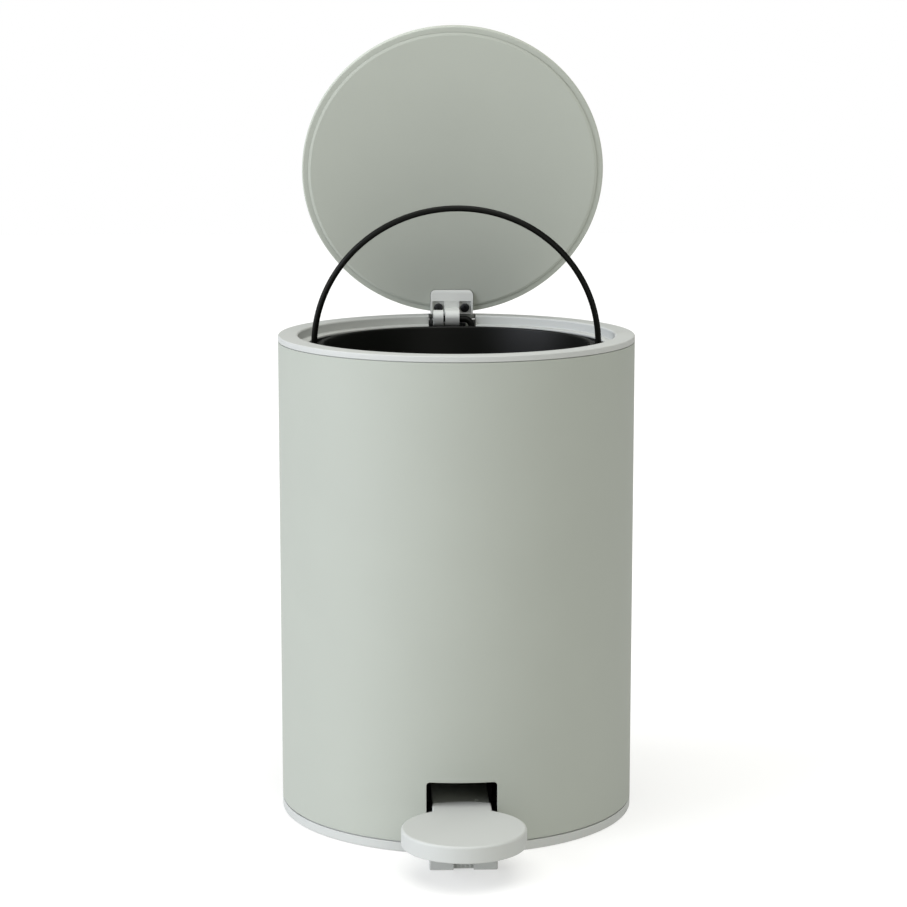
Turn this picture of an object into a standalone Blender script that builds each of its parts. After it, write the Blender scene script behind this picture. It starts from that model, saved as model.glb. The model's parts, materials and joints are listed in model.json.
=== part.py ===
"""Round pedal bin with a hinged lid, a lift-out bucket with a wire bail, and a foot pedal.

It stands as in use: the pedal is pressed to the floor, the lid is open and the bail is up.
Metres, +Z up, +Y towards the hinge. The origin is on the bin's axis, at floor level.
"""

import math

import bmesh
import bpy
from mathutils import Matrix, Vector
from mathutils.geometry import convex_hull_2d

MM = 0.001
GAP = 0.3 * MM  # between pieces that touch
SCREW_PLAY = 0.3 * MM  # radial, round every screw and pin
PILOT = 1.9 * MM  # radius of the holes for the 3.2 mm screws
ROUND = 56  # segments of the large turned pieces
SMALL_ROUND = 14  # segments of pins, bosses and screws

# Body, collar and base
BODY_RADIUS = 102.5 * MM
BODY_WALL = 0.8 * MM
BODY_BOTTOM = 5.9 * MM
BODY_TOP = 274.5 * MM
SLOT_WIDTH = 39.2 * MM
SLOT_TOP = 40.8 * MM
SLOT_CORNER = 2.0 * MM
LINER_RADIUS = BODY_RADIUS - BODY_WALL - GAP  # outside of what stands inside the body
COLLAR_TOP = 278.1 * MM
COLLAR_EDGE = 274.8 * MM  # underside of the rim that covers the body's edge
COLLAR_SKIRT_BOTTOM = 254.0 * MM
COLLAR_SKIRT_RADIUS = 99.6 * MM
COLLAR_INNER_RADIUS = 91.0 * MM
COLLAR_LIP = 1.2 * MM  # chamfer of the inner edge
COLLAR_WALL = 1.6 * MM
LEDGE_TOP = 272.7 * MM
LEDGE_RADIUS = 85.6 * MM
LEDGE_THICKNESS = 1.4 * MM
BASE_RING_TOP = 5.3 * MM
BASE_UPSTAND_TOP = 16.0 * MM
BASE_PLATE = (1.5 * MM, 3.5 * MM)
FOOT_RING_RADIUS = 96.0 * MM
PAD_RADIUS = 90.0 * MM
PAD_THICKNESS = 1.2 * MM

# Platform under the bucket
POST_CENTRES = [(x * 69.3 * MM, y * 40.0 * MM) for x in (-1, 1) for y in (-1, 1)]
POST_RADIUS = 6.0 * MM
PLATFORM = (43.0 * MM, 45.2 * MM)
PLATFORM_RADIUS = 98.0 * MM

# Bucket and bail
BUCKET_BOTTOM = PLATFORM[1] + GAP
BUCKET_WALL = 1.6 * MM
BUCKET_FOOT_RADIUS = 66.0 * MM
BUCKET_LIP_TOP = 272.9 * MM
BUCKET_LIP_RADIUS = 79.4 * MM
BUCKET_MOUTH_RADIUS = 76.9 * MM
BUCKET_BAND_BOTTOM = 262.0 * MM
LUG_OUTSIDE = 85.1 * MM
LUG_CHEEK = 1.2 * MM
LUG_HALF_WIDTH = 5.0 * MM
BAIL_RADIUS = 81.8 * MM
BAIL_WIRE = 1.75 * MM  # radius
BAIL_AXIS = Vector((0, 0, 270.7 * MM))
BAIL_LEAN = math.radians(10.9)  # forwards from upright
BAIL_PIN_END = 75.9 * MM

# Lid and its hinge, with heights as they are when the lid is closed
LID_TURN = math.radians(74.3)  # from closed to open
LID_AXIS = Vector((0, 95.94 * MM, 272.35 * MM))
LID_RADIUS = 90.0 * MM
LID_TOP = 279.8 * MM
LID_HEM = 275.8 * MM
LID_SHEET = 0.8 * MM
LID_HEM_RADIUS = 80.0 * MM
PANEL_RADIUS = 86.0 * MM
PANEL_BOTTOM = 274.8 * MM
HINGE_PIN = 1.5 * MM  # radius
BRACKET_HALF_WIDTH = 12.95 * MM
BRACKET_BACK = 89.8 * MM
BRACKET_FRONT = 74.8 * MM
BRACKET_BOTTOM = 272.8 * MM
BRACKET_WEB = (-4.2 * MM, 4.4 * MM)
BRACKET_CHEEK = (-11.4 * MM, -5.4 * MM)
BRACKET_SCREWS = [Vector((x * 8.05 * MM, 85.9 * MM, 0)) for x in (-1, 1)]
NOTCH = (-14.2 * MM, 14.5 * MM)  # across the collar, round the hinge
HINGE_EARS = [(-13.5 * MM, -11.9 * MM), (4.8 * MM, 6.4 * MM)]
HINGE_SCREWS = [Vector((x * 18.0 * MM, 0, 261.0 * MM)) for x in (-1, 1)]

# Push rod
ROD_WIRE = 2.0 * MM  # radius
ROD_X = 12.0 * MM
ROD_Y = 87.6 * MM
ROD_TOP = 276.3 * MM
ROD_BOTTOM = 29.0 * MM
ROD_BEND = 4.8 * MM
ROD_TRAVEL = 11.8 * MM

# Pedal
PEDAL_AXIS = Vector((0, -11.4 * MM, 18.0 * MM))
PEDAL_TURN = math.asin(ROD_TRAVEL / (ROD_Y - PEDAL_AXIS.y))
PEDAL_Y = -138.0 * MM
PEDAL_RADIUS = 34.0 * MM
PEDAL_TOP = 27.0 * MM
PEDAL_BOTTOM = 17.5 * MM
NECK_HALF_WIDTH = 16.3 * MM
NECK_BOTTOM = 18.5 * MM
NECK_REACH = 46.0 * MM
FOOT_HALF_WIDTH = 18.6 * MM
FOOT_FRONT = -130.5 * MM
FOOT_BACK = -108.5 * MM
FOOT_WALL = 2.0 * MM
FOOT_NOTCH = (5.5 * MM, 3.0 * MM)  # half width and depth
LEVER_PLATE = (21.2 * MM, 23.6 * MM)
LEVER_HALF_WIDTH = 13.0 * MM
LEVER_FRONT = -150.0 * MM
LEVER_BACK = 94.0 * MM
LEVER_WIDE = 31.8 * MM  # just behind the neck
LEVER_WIDE_FRONT = -91.6 * MM
LEVER_WIDE_BACK = -32.0 * MM
AXLE = 2.5 * MM  # radius
BEARING = (15.2 * MM, 20.2 * MM)

# Colours and finishes: colour, roughness, metallic
FINISHES = {
    "powder_coated_steel": ((0.43, 0.46, 0.42), 0.55, 0.0),
    "sage_plastic": ((0.55, 0.58, 0.54), 0.45, 0.0),
    "black_plastic": ((0.012, 0.012, 0.010), 0.35, 0.0),
    "black_wire": ((0.012, 0.012, 0.010), 0.3, 0.0),
    "black_steel": ((0.03, 0.03, 0.03), 0.4, 0.6),
    "zinc_steel": ((0.55, 0.56, 0.57), 0.35, 1.0),
    "grey_nylon": ((0.2, 0.2, 0.2), 0.5, 0.0),
    "rubber": ((0.04, 0.04, 0.04), 0.8, 0.0),
}


def clear_scene():
    for obj in list(bpy.data.objects):
        bpy.data.objects.remove(obj, do_unlink=True)


def collection(name):
    made = bpy.data.collections.new(name)
    bpy.context.scene.collection.children.link(made)
    return made


def material(finish):
    found = bpy.data.materials.get(finish)
    if found:
        return found
    colour, roughness, metallic = FINISHES[finish]
    made = bpy.data.materials.new(finish)
    made.use_nodes = True
    shader = made.node_tree.nodes["Principled BSDF"]
    shader.inputs["Base Color"].default_value = (*colour, 1)
    shader.inputs["Roughness"].default_value = roughness
    shader.inputs["Metallic"].default_value = metallic
    return made


clear_scene()
PARTS = collection("pedal_bin")
CUTTERS = collection("cutters")


def pivot(name, place, turn):
    """An empty on a joint's axis, turned about X by the angle that the piece stands at."""
    empty = bpy.data.objects.new(name, None)
    empty.location = place
    empty.rotation_euler.x = turn
    PARTS.objects.link(empty)
    return empty


LID_PIVOT = pivot("lid_pivot", LID_AXIS, -LID_TURN)
BAIL_PIVOT = pivot("bail_pivot", BAIL_AXIS, BAIL_LEAN)
PEDAL_PIVOT = pivot("pedal_pivot", PEDAL_AXIS, 0)


def add(name, data, finish, on=None):
    """Makes the object. What rides on a pivot is modelled as if the pivot weren't turned."""
    obj = bpy.data.objects.new(name, data)
    if finish:
        data.materials.append(material(finish))
        PARTS.objects.link(obj)
    else:
        obj.hide_render = True
        obj.display_type = "WIRE"
        CUTTERS.objects.link(obj)
    if on:
        obj.parent = on
        obj.location = -on.location
    return obj


def mesh_from(name, bm, finish, on):
    mesh = bpy.data.meshes.new(name)
    bmesh.ops.recalc_face_normals(bm, faces=bm.faces)
    bm.to_mesh(mesh)
    bm.free()
    return add(name, mesh, finish, on)


def box(name, low, high, finish=None, on=None, bevel=0.0):
    bm = bmesh.new()
    size = Vector(high) - Vector(low)
    middle = (Vector(high) + Vector(low)) / 2
    place = Matrix.Translation(middle) @ Matrix.Diagonal((*size, 1))
    bmesh.ops.create_cube(bm, size=1, matrix=place)
    obj = mesh_from(name, bm, finish, on)
    if bevel:
        rounding = obj.modifiers.new("Edges", "BEVEL")
        rounding.width = bevel
        rounding.segments = 3
    return obj


def rods(name, spans, finish=None, on=None, segments=SMALL_ROUND):
    """Solid cylinders, each between two points with a radius, as one mesh."""
    bm = bmesh.new()
    for start, end, radius in spans:
        along = Vector(end) - Vector(start)
        turn = along.to_track_quat("Z", "Y").to_matrix().to_4x4()
        place = Matrix.Translation((Vector(start) + Vector(end)) / 2) @ turn
        bmesh.ops.create_cone(
            bm,
            cap_ends=True,
            segments=segments,
            radius1=radius,
            radius2=radius,
            depth=along.length,
            matrix=place,
        )
    return mesh_from(name, bm, finish, on)


def turned(name, profile, finish=None, on=None, centre=(0, 0), segments=ROUND):
    """A turned solid. The profile, of radius and height, runs down its outer side."""
    open_ended = profile[0][0] == 0 and profile[-1][0] == 0
    edges = [(i, i + 1) for i in range(len(profile) - 1)]
    if not open_ended:
        edges.append((len(profile) - 1, 0))
    mesh = bpy.data.meshes.new(name)
    mesh.from_pydata([(r, 0, z) for r, z in profile], edges, [])
    obj = add(name, mesh, finish, on)
    obj.location += Vector((*centre, 0))
    lathe = obj.modifiers.new("Turn", "SCREW")
    lathe.steps = lathe.render_steps = segments
    lathe.use_merge_vertices = True
    lathe.merge_threshold = 0.00001
    return obj


def plate(name, span, outline, finish=None, on=None):
    """A plate across X between span, of the hull round points in (y, z)."""
    corners = [outline[i] for i in convex_hull_2d(outline)]
    bm = bmesh.new()
    side = bm.faces.new([bm.verts.new((span[0], y, z)) for y, z in corners])
    bmesh.ops.dissolve_limit(bm, angle_limit=0.02, verts=bm.verts, edges=bm.edges)
    side = bm.faces[:][0]
    grown = bmesh.ops.extrude_face_region(bm, geom=[side], use_keep_orig=True)["geom"]
    moved = [v for v in grown if isinstance(v, bmesh.types.BMVert)]
    bmesh.ops.translate(bm, vec=(span[1] - span[0], 0, 0), verts=moved)
    return mesh_from(name, bm, finish, on)


def wire(name, points, radius, finish, on=None):
    curve = bpy.data.curves.new(name, "CURVE")
    curve.dimensions = "3D"
    curve.bevel_depth = radius
    curve.bevel_resolution = 2
    curve.use_fill_caps = True
    spline = curve.splines.new("POLY")
    spline.points.add(len(points) - 1)
    for point, place in zip(spline.points, points):
        point.co = (*place, 1)
    return add(name, curve, finish, on)


def combine(obj, operation, others):
    for other in others:
        step = obj.modifiers.new(other.name, "BOOLEAN")
        step.operation = operation
        step.object = other


def cut(obj, *others):
    combine(obj, "DIFFERENCE", others)


def join(obj, *others):
    combine(obj, "UNION", others)


def circle(centre, radius, segments=SMALL_ROUND):
    """Points round a centre in the (y, z) plane."""
    turns = [2 * math.pi * i / segments for i in range(segments)]
    return [(centre[0] + radius * math.cos(t), centre[1] + radius * math.sin(t)) for t in turns]


def arc(centre, radius, start, end, steps):
    """Points on an arc, with angles in degrees from the first axis."""
    turns = [math.radians(start + (end - start) * i / steps) for i in range(steps + 1)]
    return [(centre[0] + radius * math.cos(t), centre[1] + radius * math.sin(t)) for t in turns]


def pair(name):
    return [name + "_left", name + "_right"]


def screws(names, places, axis, head, shank, finish="zinc_steel", on=None):
    """Pan-head screws or pins: head and shank are each a start, an end and a radius along the axis."""
    for name, place in zip(names, places):
        pieces = []
        for start, end, radius in (head, shank):
            pieces.append((place + axis * start, place + axis * end, radius))
        screw = rods(name, pieces[:1], finish, on)
        join(screw, rods(name + "_shank", pieces[1:], None, on))


# ---------------------------------------------------------------- body


def make_body_shell():
    shell = turned(
        "body_shell",
        [
            (BODY_RADIUS, BODY_TOP),
            (BODY_RADIUS, BODY_BOTTOM),
            (BODY_RADIUS - BODY_WALL, BODY_BOTTOM),
            (BODY_RADIUS - BODY_WALL, BODY_TOP),
        ],
        "powder_coated_steel",
    )
    half = SLOT_WIDTH / 2
    low = (-half, -BODY_RADIUS - 20 * MM, -20 * MM)
    high = (half, -BODY_RADIUS + 20 * MM, SLOT_TOP)
    cut(shell, box("slot_cutter", low, high, bevel=SLOT_CORNER))


def make_collar():
    inner_top = COLLAR_INNER_RADIUS + COLLAR_LIP
    under_rim = COLLAR_TOP - 1.9 * MM
    wall_outside = COLLAR_INNER_RADIUS + COLLAR_WALL
    ledge_bottom = LEDGE_TOP - LEDGE_THICKNESS
    edge = 0.6 * MM
    collar = turned(
        "collar",
        [
            *arc((BODY_RADIUS - edge, COLLAR_TOP - edge), edge, 90, 0, 2),
            (BODY_RADIUS, COLLAR_EDGE),
            (LINER_RADIUS, COLLAR_EDGE),
            (LINER_RADIUS, COLLAR_SKIRT_BOTTOM),
            (COLLAR_SKIRT_RADIUS, COLLAR_SKIRT_BOTTOM),
            (COLLAR_SKIRT_RADIUS, under_rim),
            (wall_outside, under_rim),
            (wall_outside, ledge_bottom),
            (LEDGE_RADIUS, ledge_bottom),
            (LEDGE_RADIUS, LEDGE_TOP),
            (COLLAR_INNER_RADIUS, LEDGE_TOP),
            *arc((inner_top, COLLAR_TOP - COLLAR_LIP), COLLAR_LIP, 180, 90, 2),
        ],
        "sage_plastic",
    )
    notch_back = 100.9 * MM
    over = box("notch_top", (NOTCH[0], 80 * MM, 270 * MM), (NOTCH[1], notch_back, 290 * MM))
    window = box("notch_skirt", (NOTCH[0], 95 * MM, 240 * MM), (NOTCH[1], 110 * MM, 274.4 * MM))
    holes = [
        (p + Vector((0, 90 * MM, 0)), p + Vector((0, 110 * MM, 0)), HINGE_PIN + SCREW_PLAY)
        for p in HINGE_SCREWS
    ]
    cut(collar, over, window, rods("collar_holes", holes))


def make_lid_buffers():
    place = (COLLAR_INNER_RADIUS + LEDGE_RADIUS) / 2
    low, high = LEDGE_TOP + GAP, LID_HEM - 0.4 * MM
    for name, degrees in (("lid_buffer_left", -120), ("lid_buffer_right", -60)):
        x = place * math.cos(math.radians(degrees))
        y = place * math.sin(math.radians(degrees))
        rods(name, [((x, y, low), (x, y, high), 2.2 * MM)], "rubber")


def make_base_pan():
    bottom, top = BASE_PLATE
    edge = 0.5 * MM
    base = turned(
        "base_pan",
        [
            (0, top),
            (COLLAR_SKIRT_RADIUS, top),
            (COLLAR_SKIRT_RADIUS, BASE_UPSTAND_TOP),
            (LINER_RADIUS, BASE_UPSTAND_TOP),
            (LINER_RADIUS, BASE_RING_TOP),
            (BODY_RADIUS, BASE_RING_TOP),
            (BODY_RADIUS, edge),
            (BODY_RADIUS - edge, 0),
            (FOOT_RING_RADIUS, 0),
            (FOOT_RING_RADIUS, bottom),
            (0, bottom),
        ],
        "sage_plastic",
    )
    post_top = PLATFORM[0] - GAP
    post_root = top - 1 * MM
    posts = [((x, y, post_root), (x, y, post_top), POST_RADIUS) for x, y in POST_CENTRES]
    pilots = [((x, y, 29 * MM), (x, y, 50 * MM), PILOT) for x, y in POST_CENTRES]
    pilots += [(p, p + Vector((0, 0, 8 * MM)), PILOT) for p in bearing_screws()]
    join(base, rods("base_posts", posts))
    cut(base, rods("base_pilots", pilots, segments=12))


def make_floor_pad():
    edge = 0.3 * MM
    profile = [(0, PAD_THICKNESS), (PAD_RADIUS, PAD_THICKNESS), (PAD_RADIUS, edge)]
    turned("floor_pad", [*profile, (PAD_RADIUS - edge, 0), (0, 0)], "rubber")


def make_platform():
    bottom, top = PLATFORM
    ring = BUCKET_FOOT_RADIUS + 1.5 * MM
    ring_top = top + 3 * MM
    platform = turned(
        "platform",
        [
            (0, top),
            (ring, top),
            (ring, ring_top),
            (ring + 2 * MM, ring_top),
            (ring + 2 * MM, top),
            (PLATFORM_RADIUS, top),
            (PLATFORM_RADIUS, bottom),
            (0, bottom),
        ],
        "grey_nylon",
    )
    sinks = [((x, y, top - 1.5 * MM), (x, y, top + 5 * MM), 3.8 * MM) for x, y in POST_CENTRES]
    holes = [((x, y, bottom - 5 * MM), (x, y, top), PILOT) for x, y in POST_CENTRES]
    side = 4.1 * MM
    low = (ROD_X - side, ROD_Y - side, bottom - 5 * MM)
    high = (ROD_X + side, PLATFORM_RADIUS + 5 * MM, top + 5 * MM)
    cut(platform, rods("platform_sinks", sinks), rods("platform_holes", holes, segments=12))
    cut(platform, box("platform_rod_gap", low, high))
    places = [Vector((x, y, top)) for x, y in POST_CENTRES]
    up = Vector((0, 0, 1))
    names = [f"platform_screw_{i + 1}" for i in range(len(places))]
    screws(names, places, up, (-1.2 * MM, 0, 3.4 * MM), (-15 * MM, -0.8 * MM, 1.6 * MM))


# ---------------------------------------------------------------- bucket


def make_bucket():
    low = BUCKET_BOTTOM
    inner_low = low + BUCKET_WALL + 0.2 * MM
    floor_edge = BUCKET_FOOT_RADIUS - BUCKET_WALL
    shoulder = BUCKET_LIP_RADIUS - 1.5 * MM
    bucket = turned(
        "bucket",
        [
            (0, inner_low),
            (floor_edge - 2 * MM, inner_low),
            (floor_edge, inner_low + 2 * MM),
            (BUCKET_MOUTH_RADIUS, BUCKET_LIP_TOP - 0.9 * MM),
            (BUCKET_MOUTH_RADIUS + 0.5 * MM, BUCKET_LIP_TOP),
            (BUCKET_LIP_RADIUS - 0.5 * MM, BUCKET_LIP_TOP),
            (BUCKET_LIP_RADIUS, BUCKET_LIP_TOP - 0.5 * MM),
            (BUCKET_LIP_RADIUS, BUCKET_BAND_BOTTOM),
            (shoulder, BUCKET_BAND_BOTTOM),
            (BUCKET_FOOT_RADIUS, low + 2 * MM),
            (BUCKET_FOOT_RADIUS - 2 * MM, low),
            (0, low),
        ],
        "black_plastic",
    )
    holes = []
    shelf_top = BAIL_AXIS.z - 4.2 * MM
    for side, name in ((-1, "left"), (1, "right")):
        span = sorted((side * (BUCKET_LIP_RADIUS - 1 * MM), side * LUG_OUTSIDE))
        slot = sorted((side * (BUCKET_LIP_RADIUS + GAP), side * (LUG_OUTSIDE - LUG_CHEEK)))
        half = LUG_HALF_WIDTH
        top = BUCKET_LIP_TOP - 0.2 * MM
        join(bucket, box(f"lug_{name}", (span[0], -half, 258 * MM), (span[1], half, top)))
        low, high = (slot[0], -2 * half, shelf_top), (slot[1], 2 * half, top + 9 * MM)
        cut(bucket, box(f"lug_slot_{name}", low, high))
        start = BAIL_AXIS + Vector((side * 70 * MM, 0, 0))
        end = BAIL_AXIS + Vector((side * (BUCKET_LIP_RADIUS + 1 * MM), 0, 0))
        holes.append((start, end, BAIL_WIRE + SCREW_PLAY))
    cut(bucket, rods("bail_holes", holes))


def make_bail():
    """A half hoop whose ends turn inwards through the bucket's wall."""
    bend = 2.4 * MM
    steps = 36
    lift = math.asin(bend / BAIL_RADIUS)
    half = []
    for x, z in arc((BAIL_RADIUS - bend, bend), bend, -90, -20, 3):
        half.append((x, z))
    hoop = [lift + (math.pi / 2 - lift) * i / (steps // 2) for i in range(1, steps // 2 + 1)]
    half += [(BAIL_RADIUS * math.cos(t), BAIL_RADIUS * math.sin(t)) for t in hoop]
    half.insert(0, (BAIL_PIN_END, 0))
    right = [Vector((x, 0, z)) + BAIL_AXIS for x, z in half]
    left = [Vector((-x, 0, z)) + BAIL_AXIS for x, z in half[-2::-1]]
    wire("bail", right + left, BAIL_WIRE, "black_wire", BAIL_PIVOT)


# ---------------------------------------------------------------- lid


def rod_in_lid(share):
    """Where the rod's end is, in the lid's closed frame, at a share of the way from open."""
    turn = LID_TURN * (1 - share)
    y = ROD_Y - LID_AXIS.y
    z = ROD_TOP - ROD_TRAVEL * share - LID_AXIS.z
    return (
        LID_AXIS.y + y * math.cos(turn) - z * math.sin(turn),
        LID_AXIS.z + y * math.sin(turn) + z * math.cos(turn),
    )


def lever_outline(radius):
    """Circles round every place that the rod's end takes in the lid."""
    steps = 6
    return [p for i in range(steps + 1) for p in circle(rod_in_lid(i / steps), radius)]


def make_lid_skin():
    edge = 1.2 * MM
    sheet = LID_SHEET
    outer = LID_RADIUS - edge
    skin = turned(
        "lid_skin",
        [
            (0, LID_TOP),
            *arc((outer, LID_TOP - edge), edge, 90, 0, 2),
            *arc((outer, LID_HEM + edge), edge, 0, -90, 2),
            (LID_HEM_RADIUS, LID_HEM),
            (LID_HEM_RADIUS, LID_HEM + sheet),
            (outer, LID_HEM + sheet),
            (LID_RADIUS - sheet, LID_HEM + edge),
            (LID_RADIUS - sheet, LID_TOP - edge),
            (outer, LID_TOP - sheet),
            (0, LID_TOP - sheet),
        ],
        "powder_coated_steel",
        LID_PIVOT,
    )
    up = Vector((0, 0, 1))
    spans = [(p + up * 270 * MM, p + up * 278 * MM, 1.6 * MM) for p in BRACKET_SCREWS]
    cut(skin, rods("skin_holes", spans, on=LID_PIVOT, segments=12))


def make_lid_panel():
    ring_outside = LID_HEM_RADIUS - 0.8 * MM
    ring_inside = ring_outside - 1.6 * MM
    ring_top = LID_TOP - LID_SHEET - 2 * GAP
    top = LID_HEM - GAP
    panel = turned(
        "lid_panel",
        [
            (0, PANEL_BOTTOM + 1.5 * MM),
            (ring_inside, PANEL_BOTTOM + 1.5 * MM),
            (ring_inside, ring_top),
            (ring_outside, ring_top),
            (ring_outside, top),
            (PANEL_RADIUS, top),
            (PANEL_RADIUS - 1 * MM, PANEL_BOTTOM),
            (0, PANEL_BOTTOM),
        ],
        "powder_coated_steel",
        LID_PIVOT,
    )
    half = BRACKET_HALF_WIDTH + GAP
    low = (-half, BRACKET_FRONT - GAP, 270 * MM)
    high = (half, 100 * MM, 285 * MM)
    cut(panel, box("panel_gap", low, high, on=LID_PIVOT))


def make_lid_bracket():
    """The block on the lid's underside, with its web and cheek down to the hinge pin."""
    top = LID_HEM - GAP
    half = BRACKET_HALF_WIDTH
    slope_start = 81.3 * MM
    floor = 274.2 * MM
    block = [
        (BRACKET_BACK, top),
        (BRACKET_BACK, BRACKET_BOTTOM),
        (slope_start, BRACKET_BOTTOM),
        (BRACKET_FRONT + 1.5 * MM, PANEL_BOTTOM - 0.8 * MM),
        (BRACKET_FRONT, PANEL_BOTTOM),
        (BRACKET_FRONT, top),
    ]
    bracket = plate("lid_bracket", (-half, half), block, "sage_plastic", LID_PIVOT)
    inner, outer = 4.6 * MM, 11.75 * MM
    for side in (-1, 1):
        low = (min(side * inner, side * outer), slope_start, 260 * MM)
        high = (max(side * inner, side * outer), 95 * MM, floor)
        name = "left" if side < 0 else "right"
        cut(bracket, box(f"screw_pocket_{name}", low, high, on=LID_PIVOT))
    boss = circle((LID_AXIS.y, LID_AXIS.z), 3.6 * MM)
    arm = boss + lever_outline(3.6 * MM)
    inset = 0.2 * MM
    front = BRACKET_BACK - 3.4 * MM
    end = BRACKET_BACK - 0.6 * MM
    root = [(front, top - inset), (front, BRACKET_BOTTOM + inset)]
    root.append((BRACKET_BACK - inset, top - inset))
    join(bracket, plate("web", BRACKET_WEB, arm + root, on=LID_PIVOT))
    link = circle((LID_AXIS.y, LID_AXIS.z), 3.2 * MM) + [(end, top - inset), (end, floor + inset)]
    join(bracket, plate("cheek", BRACKET_CHEEK, arm, on=LID_PIVOT))
    narrower = (BRACKET_CHEEK[0] + inset, BRACKET_CHEEK[1] - inset)
    join(bracket, plate("cheek_link", narrower, link, on=LID_PIVOT))
    sleeve = [LID_AXIS + Vector((x * MM, 0, 0)) for x in (-5.8, -4.0)]
    join(bracket, rods("sleeve", [(*sleeve, 3.3 * MM)], on=LID_PIVOT))
    through = (-20 * MM, 20 * MM)
    cut(bracket, plate("rod_slot", through, lever_outline(ROD_WIRE + 0.5 * MM), on=LID_PIVOT))
    axis = [(LID_AXIS + Vector((x, 0, 0))) for x in through]
    holes = [(*axis, HINGE_PIN + SCREW_PLAY)]
    up = Vector((0, 0, 1))
    holes += [(p + up * 270 * MM, p + up * 280 * MM, 1.6 * MM) for p in BRACKET_SCREWS]
    cut(bracket, rods("bracket_holes", holes, on=LID_PIVOT))
    head = (floor - 1.6 * MM, floor - GAP, 2.75 * MM)
    shank = (floor - GAP - 0.4 * MM, 277.4 * MM, 1.3 * MM)
    screws(pair("bracket_screw"), BRACKET_SCREWS, up, head, shank, "black_steel", LID_PIVOT)


# ---------------------------------------------------------------- hinge


def make_hinge():
    axis = (LID_AXIS.y, LID_AXIS.z)
    back, front = 96.5 * MM, 94.9 * MM
    low, high = 256 * MM, 264.5 * MM  # clear of the closed lid's web
    half = 22 * MM
    mount = box("hinge_mount", (-half, front, low), (half, back, high), "black_steel")
    root = [(92 * MM, high - 1 * MM), (back, high - 1 * MM)]
    root += [(back, low + 2 * MM), (front, low + 2 * MM)]
    for name, span in zip(("ear_left", "ear_right"), HINGE_EARS):
        join(mount, plate(name, span, circle(axis, 4 * MM) + root))
    hole = HINGE_PIN + SCREW_PLAY
    across = [LID_AXIS + Vector((x * MM, 0, 0)) for x in (-20, 20)]
    along = Vector((0, 1, 0))
    holes = [(*across, hole)]
    holes += [(p + along * 85 * MM, p + along * 105 * MM, hole) for p in HINGE_SCREWS]
    cut(mount, rods("mount_holes", holes))
    head = (front - GAP - 1.4 * MM, front - GAP, 3 * MM)
    shank = (front - GAP - 0.4 * MM, 99.2 * MM, HINGE_PIN)
    screws(pair("hinge_screw"), HINGE_SCREWS, along, head, shank)

    pin_start, pin_end = -14.9 * MM, 8.6 * MM
    right = Vector((1, 0, 0))
    head = (pin_start, HINGE_EARS[0][0] - GAP, 2.1 * MM)
    shank = (HINGE_EARS[0][0] - GAP - 0.4 * MM, pin_end, HINGE_PIN)
    screws(["hinge_pin"], [LID_AXIS], right, head, shank)
    washer("hinge_pin_clip", LID_AXIS, (6.8 * MM, 7.7 * MM), HINGE_PIN + GAP, 3.3 * MM)


def washer(name, axis, span, inner, outer, on=None):
    """A clip or washer across X, round an axis."""
    start, end = [axis + Vector((x - axis.x, 0, 0)) for x in span]
    ring = rods(name, [(start, end, outer)], "zinc_steel", on)
    aside = Vector((5 * MM, 0, 0))
    cut(ring, rods(name + "_hole", [(start - aside, end + aside, inner)], on=on))
    return ring


# ---------------------------------------------------------------- push rod


def make_push_rod():
    """A wire with its top end through the lid's bracket and its foot through the lever."""
    bend = ROD_BEND
    top_end, foot_end = -10.2 * MM, 2.6 * MM
    straight = [i / 6 for i in range(1, 6)]
    path = [(top_end, ROD_TOP), (0, ROD_TOP)]
    path += arc((ROD_X - bend, ROD_TOP - bend), bend, 90, 0, 5)
    length = ROD_TOP - ROD_BOTTOM - 2 * bend
    path += [(ROD_X, ROD_TOP - bend - length * s) for s in straight]
    path += arc((ROD_X - bend, ROD_BOTTOM + bend), bend, 0, -90, 5)
    path += [(foot_end, ROD_BOTTOM)]
    points = [Vector((x, ROD_Y, z)) for x, z in path]
    wire("push_rod", points, ROD_WIRE, "black_wire")
    foot = Vector((0, ROD_Y, ROD_BOTTOM))
    washer("push_rod_clip", foot, (3.9 * MM, 4.9 * MM), ROD_WIRE + GAP, 4.2 * MM)

    low, high = (7 * MM, 83 * MM, 145 * MM), (19 * MM, 105 * MM, 155 * MM)
    guide = box("rod_guide", low, high, "grey_nylon")
    wall = [((0, 0, 140 * MM), (0, 0, 160 * MM), LINER_RADIUS)]
    fit = rods("guide_fit", wall, segments=ROUND)
    combine(guide, "INTERSECT", [fit])
    hole = [((ROD_X, ROD_Y, 130 * MM), (ROD_X, ROD_Y, 170 * MM), ROD_WIRE + 0.4 * MM)]
    cut(guide, rods("guide_hole", hole))


# ---------------------------------------------------------------- pedal


def bearing_screws():
    return [Vector((x * 24.5 * MM, PEDAL_AXIS.y, 0)) for x in (-1, 1)]


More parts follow.
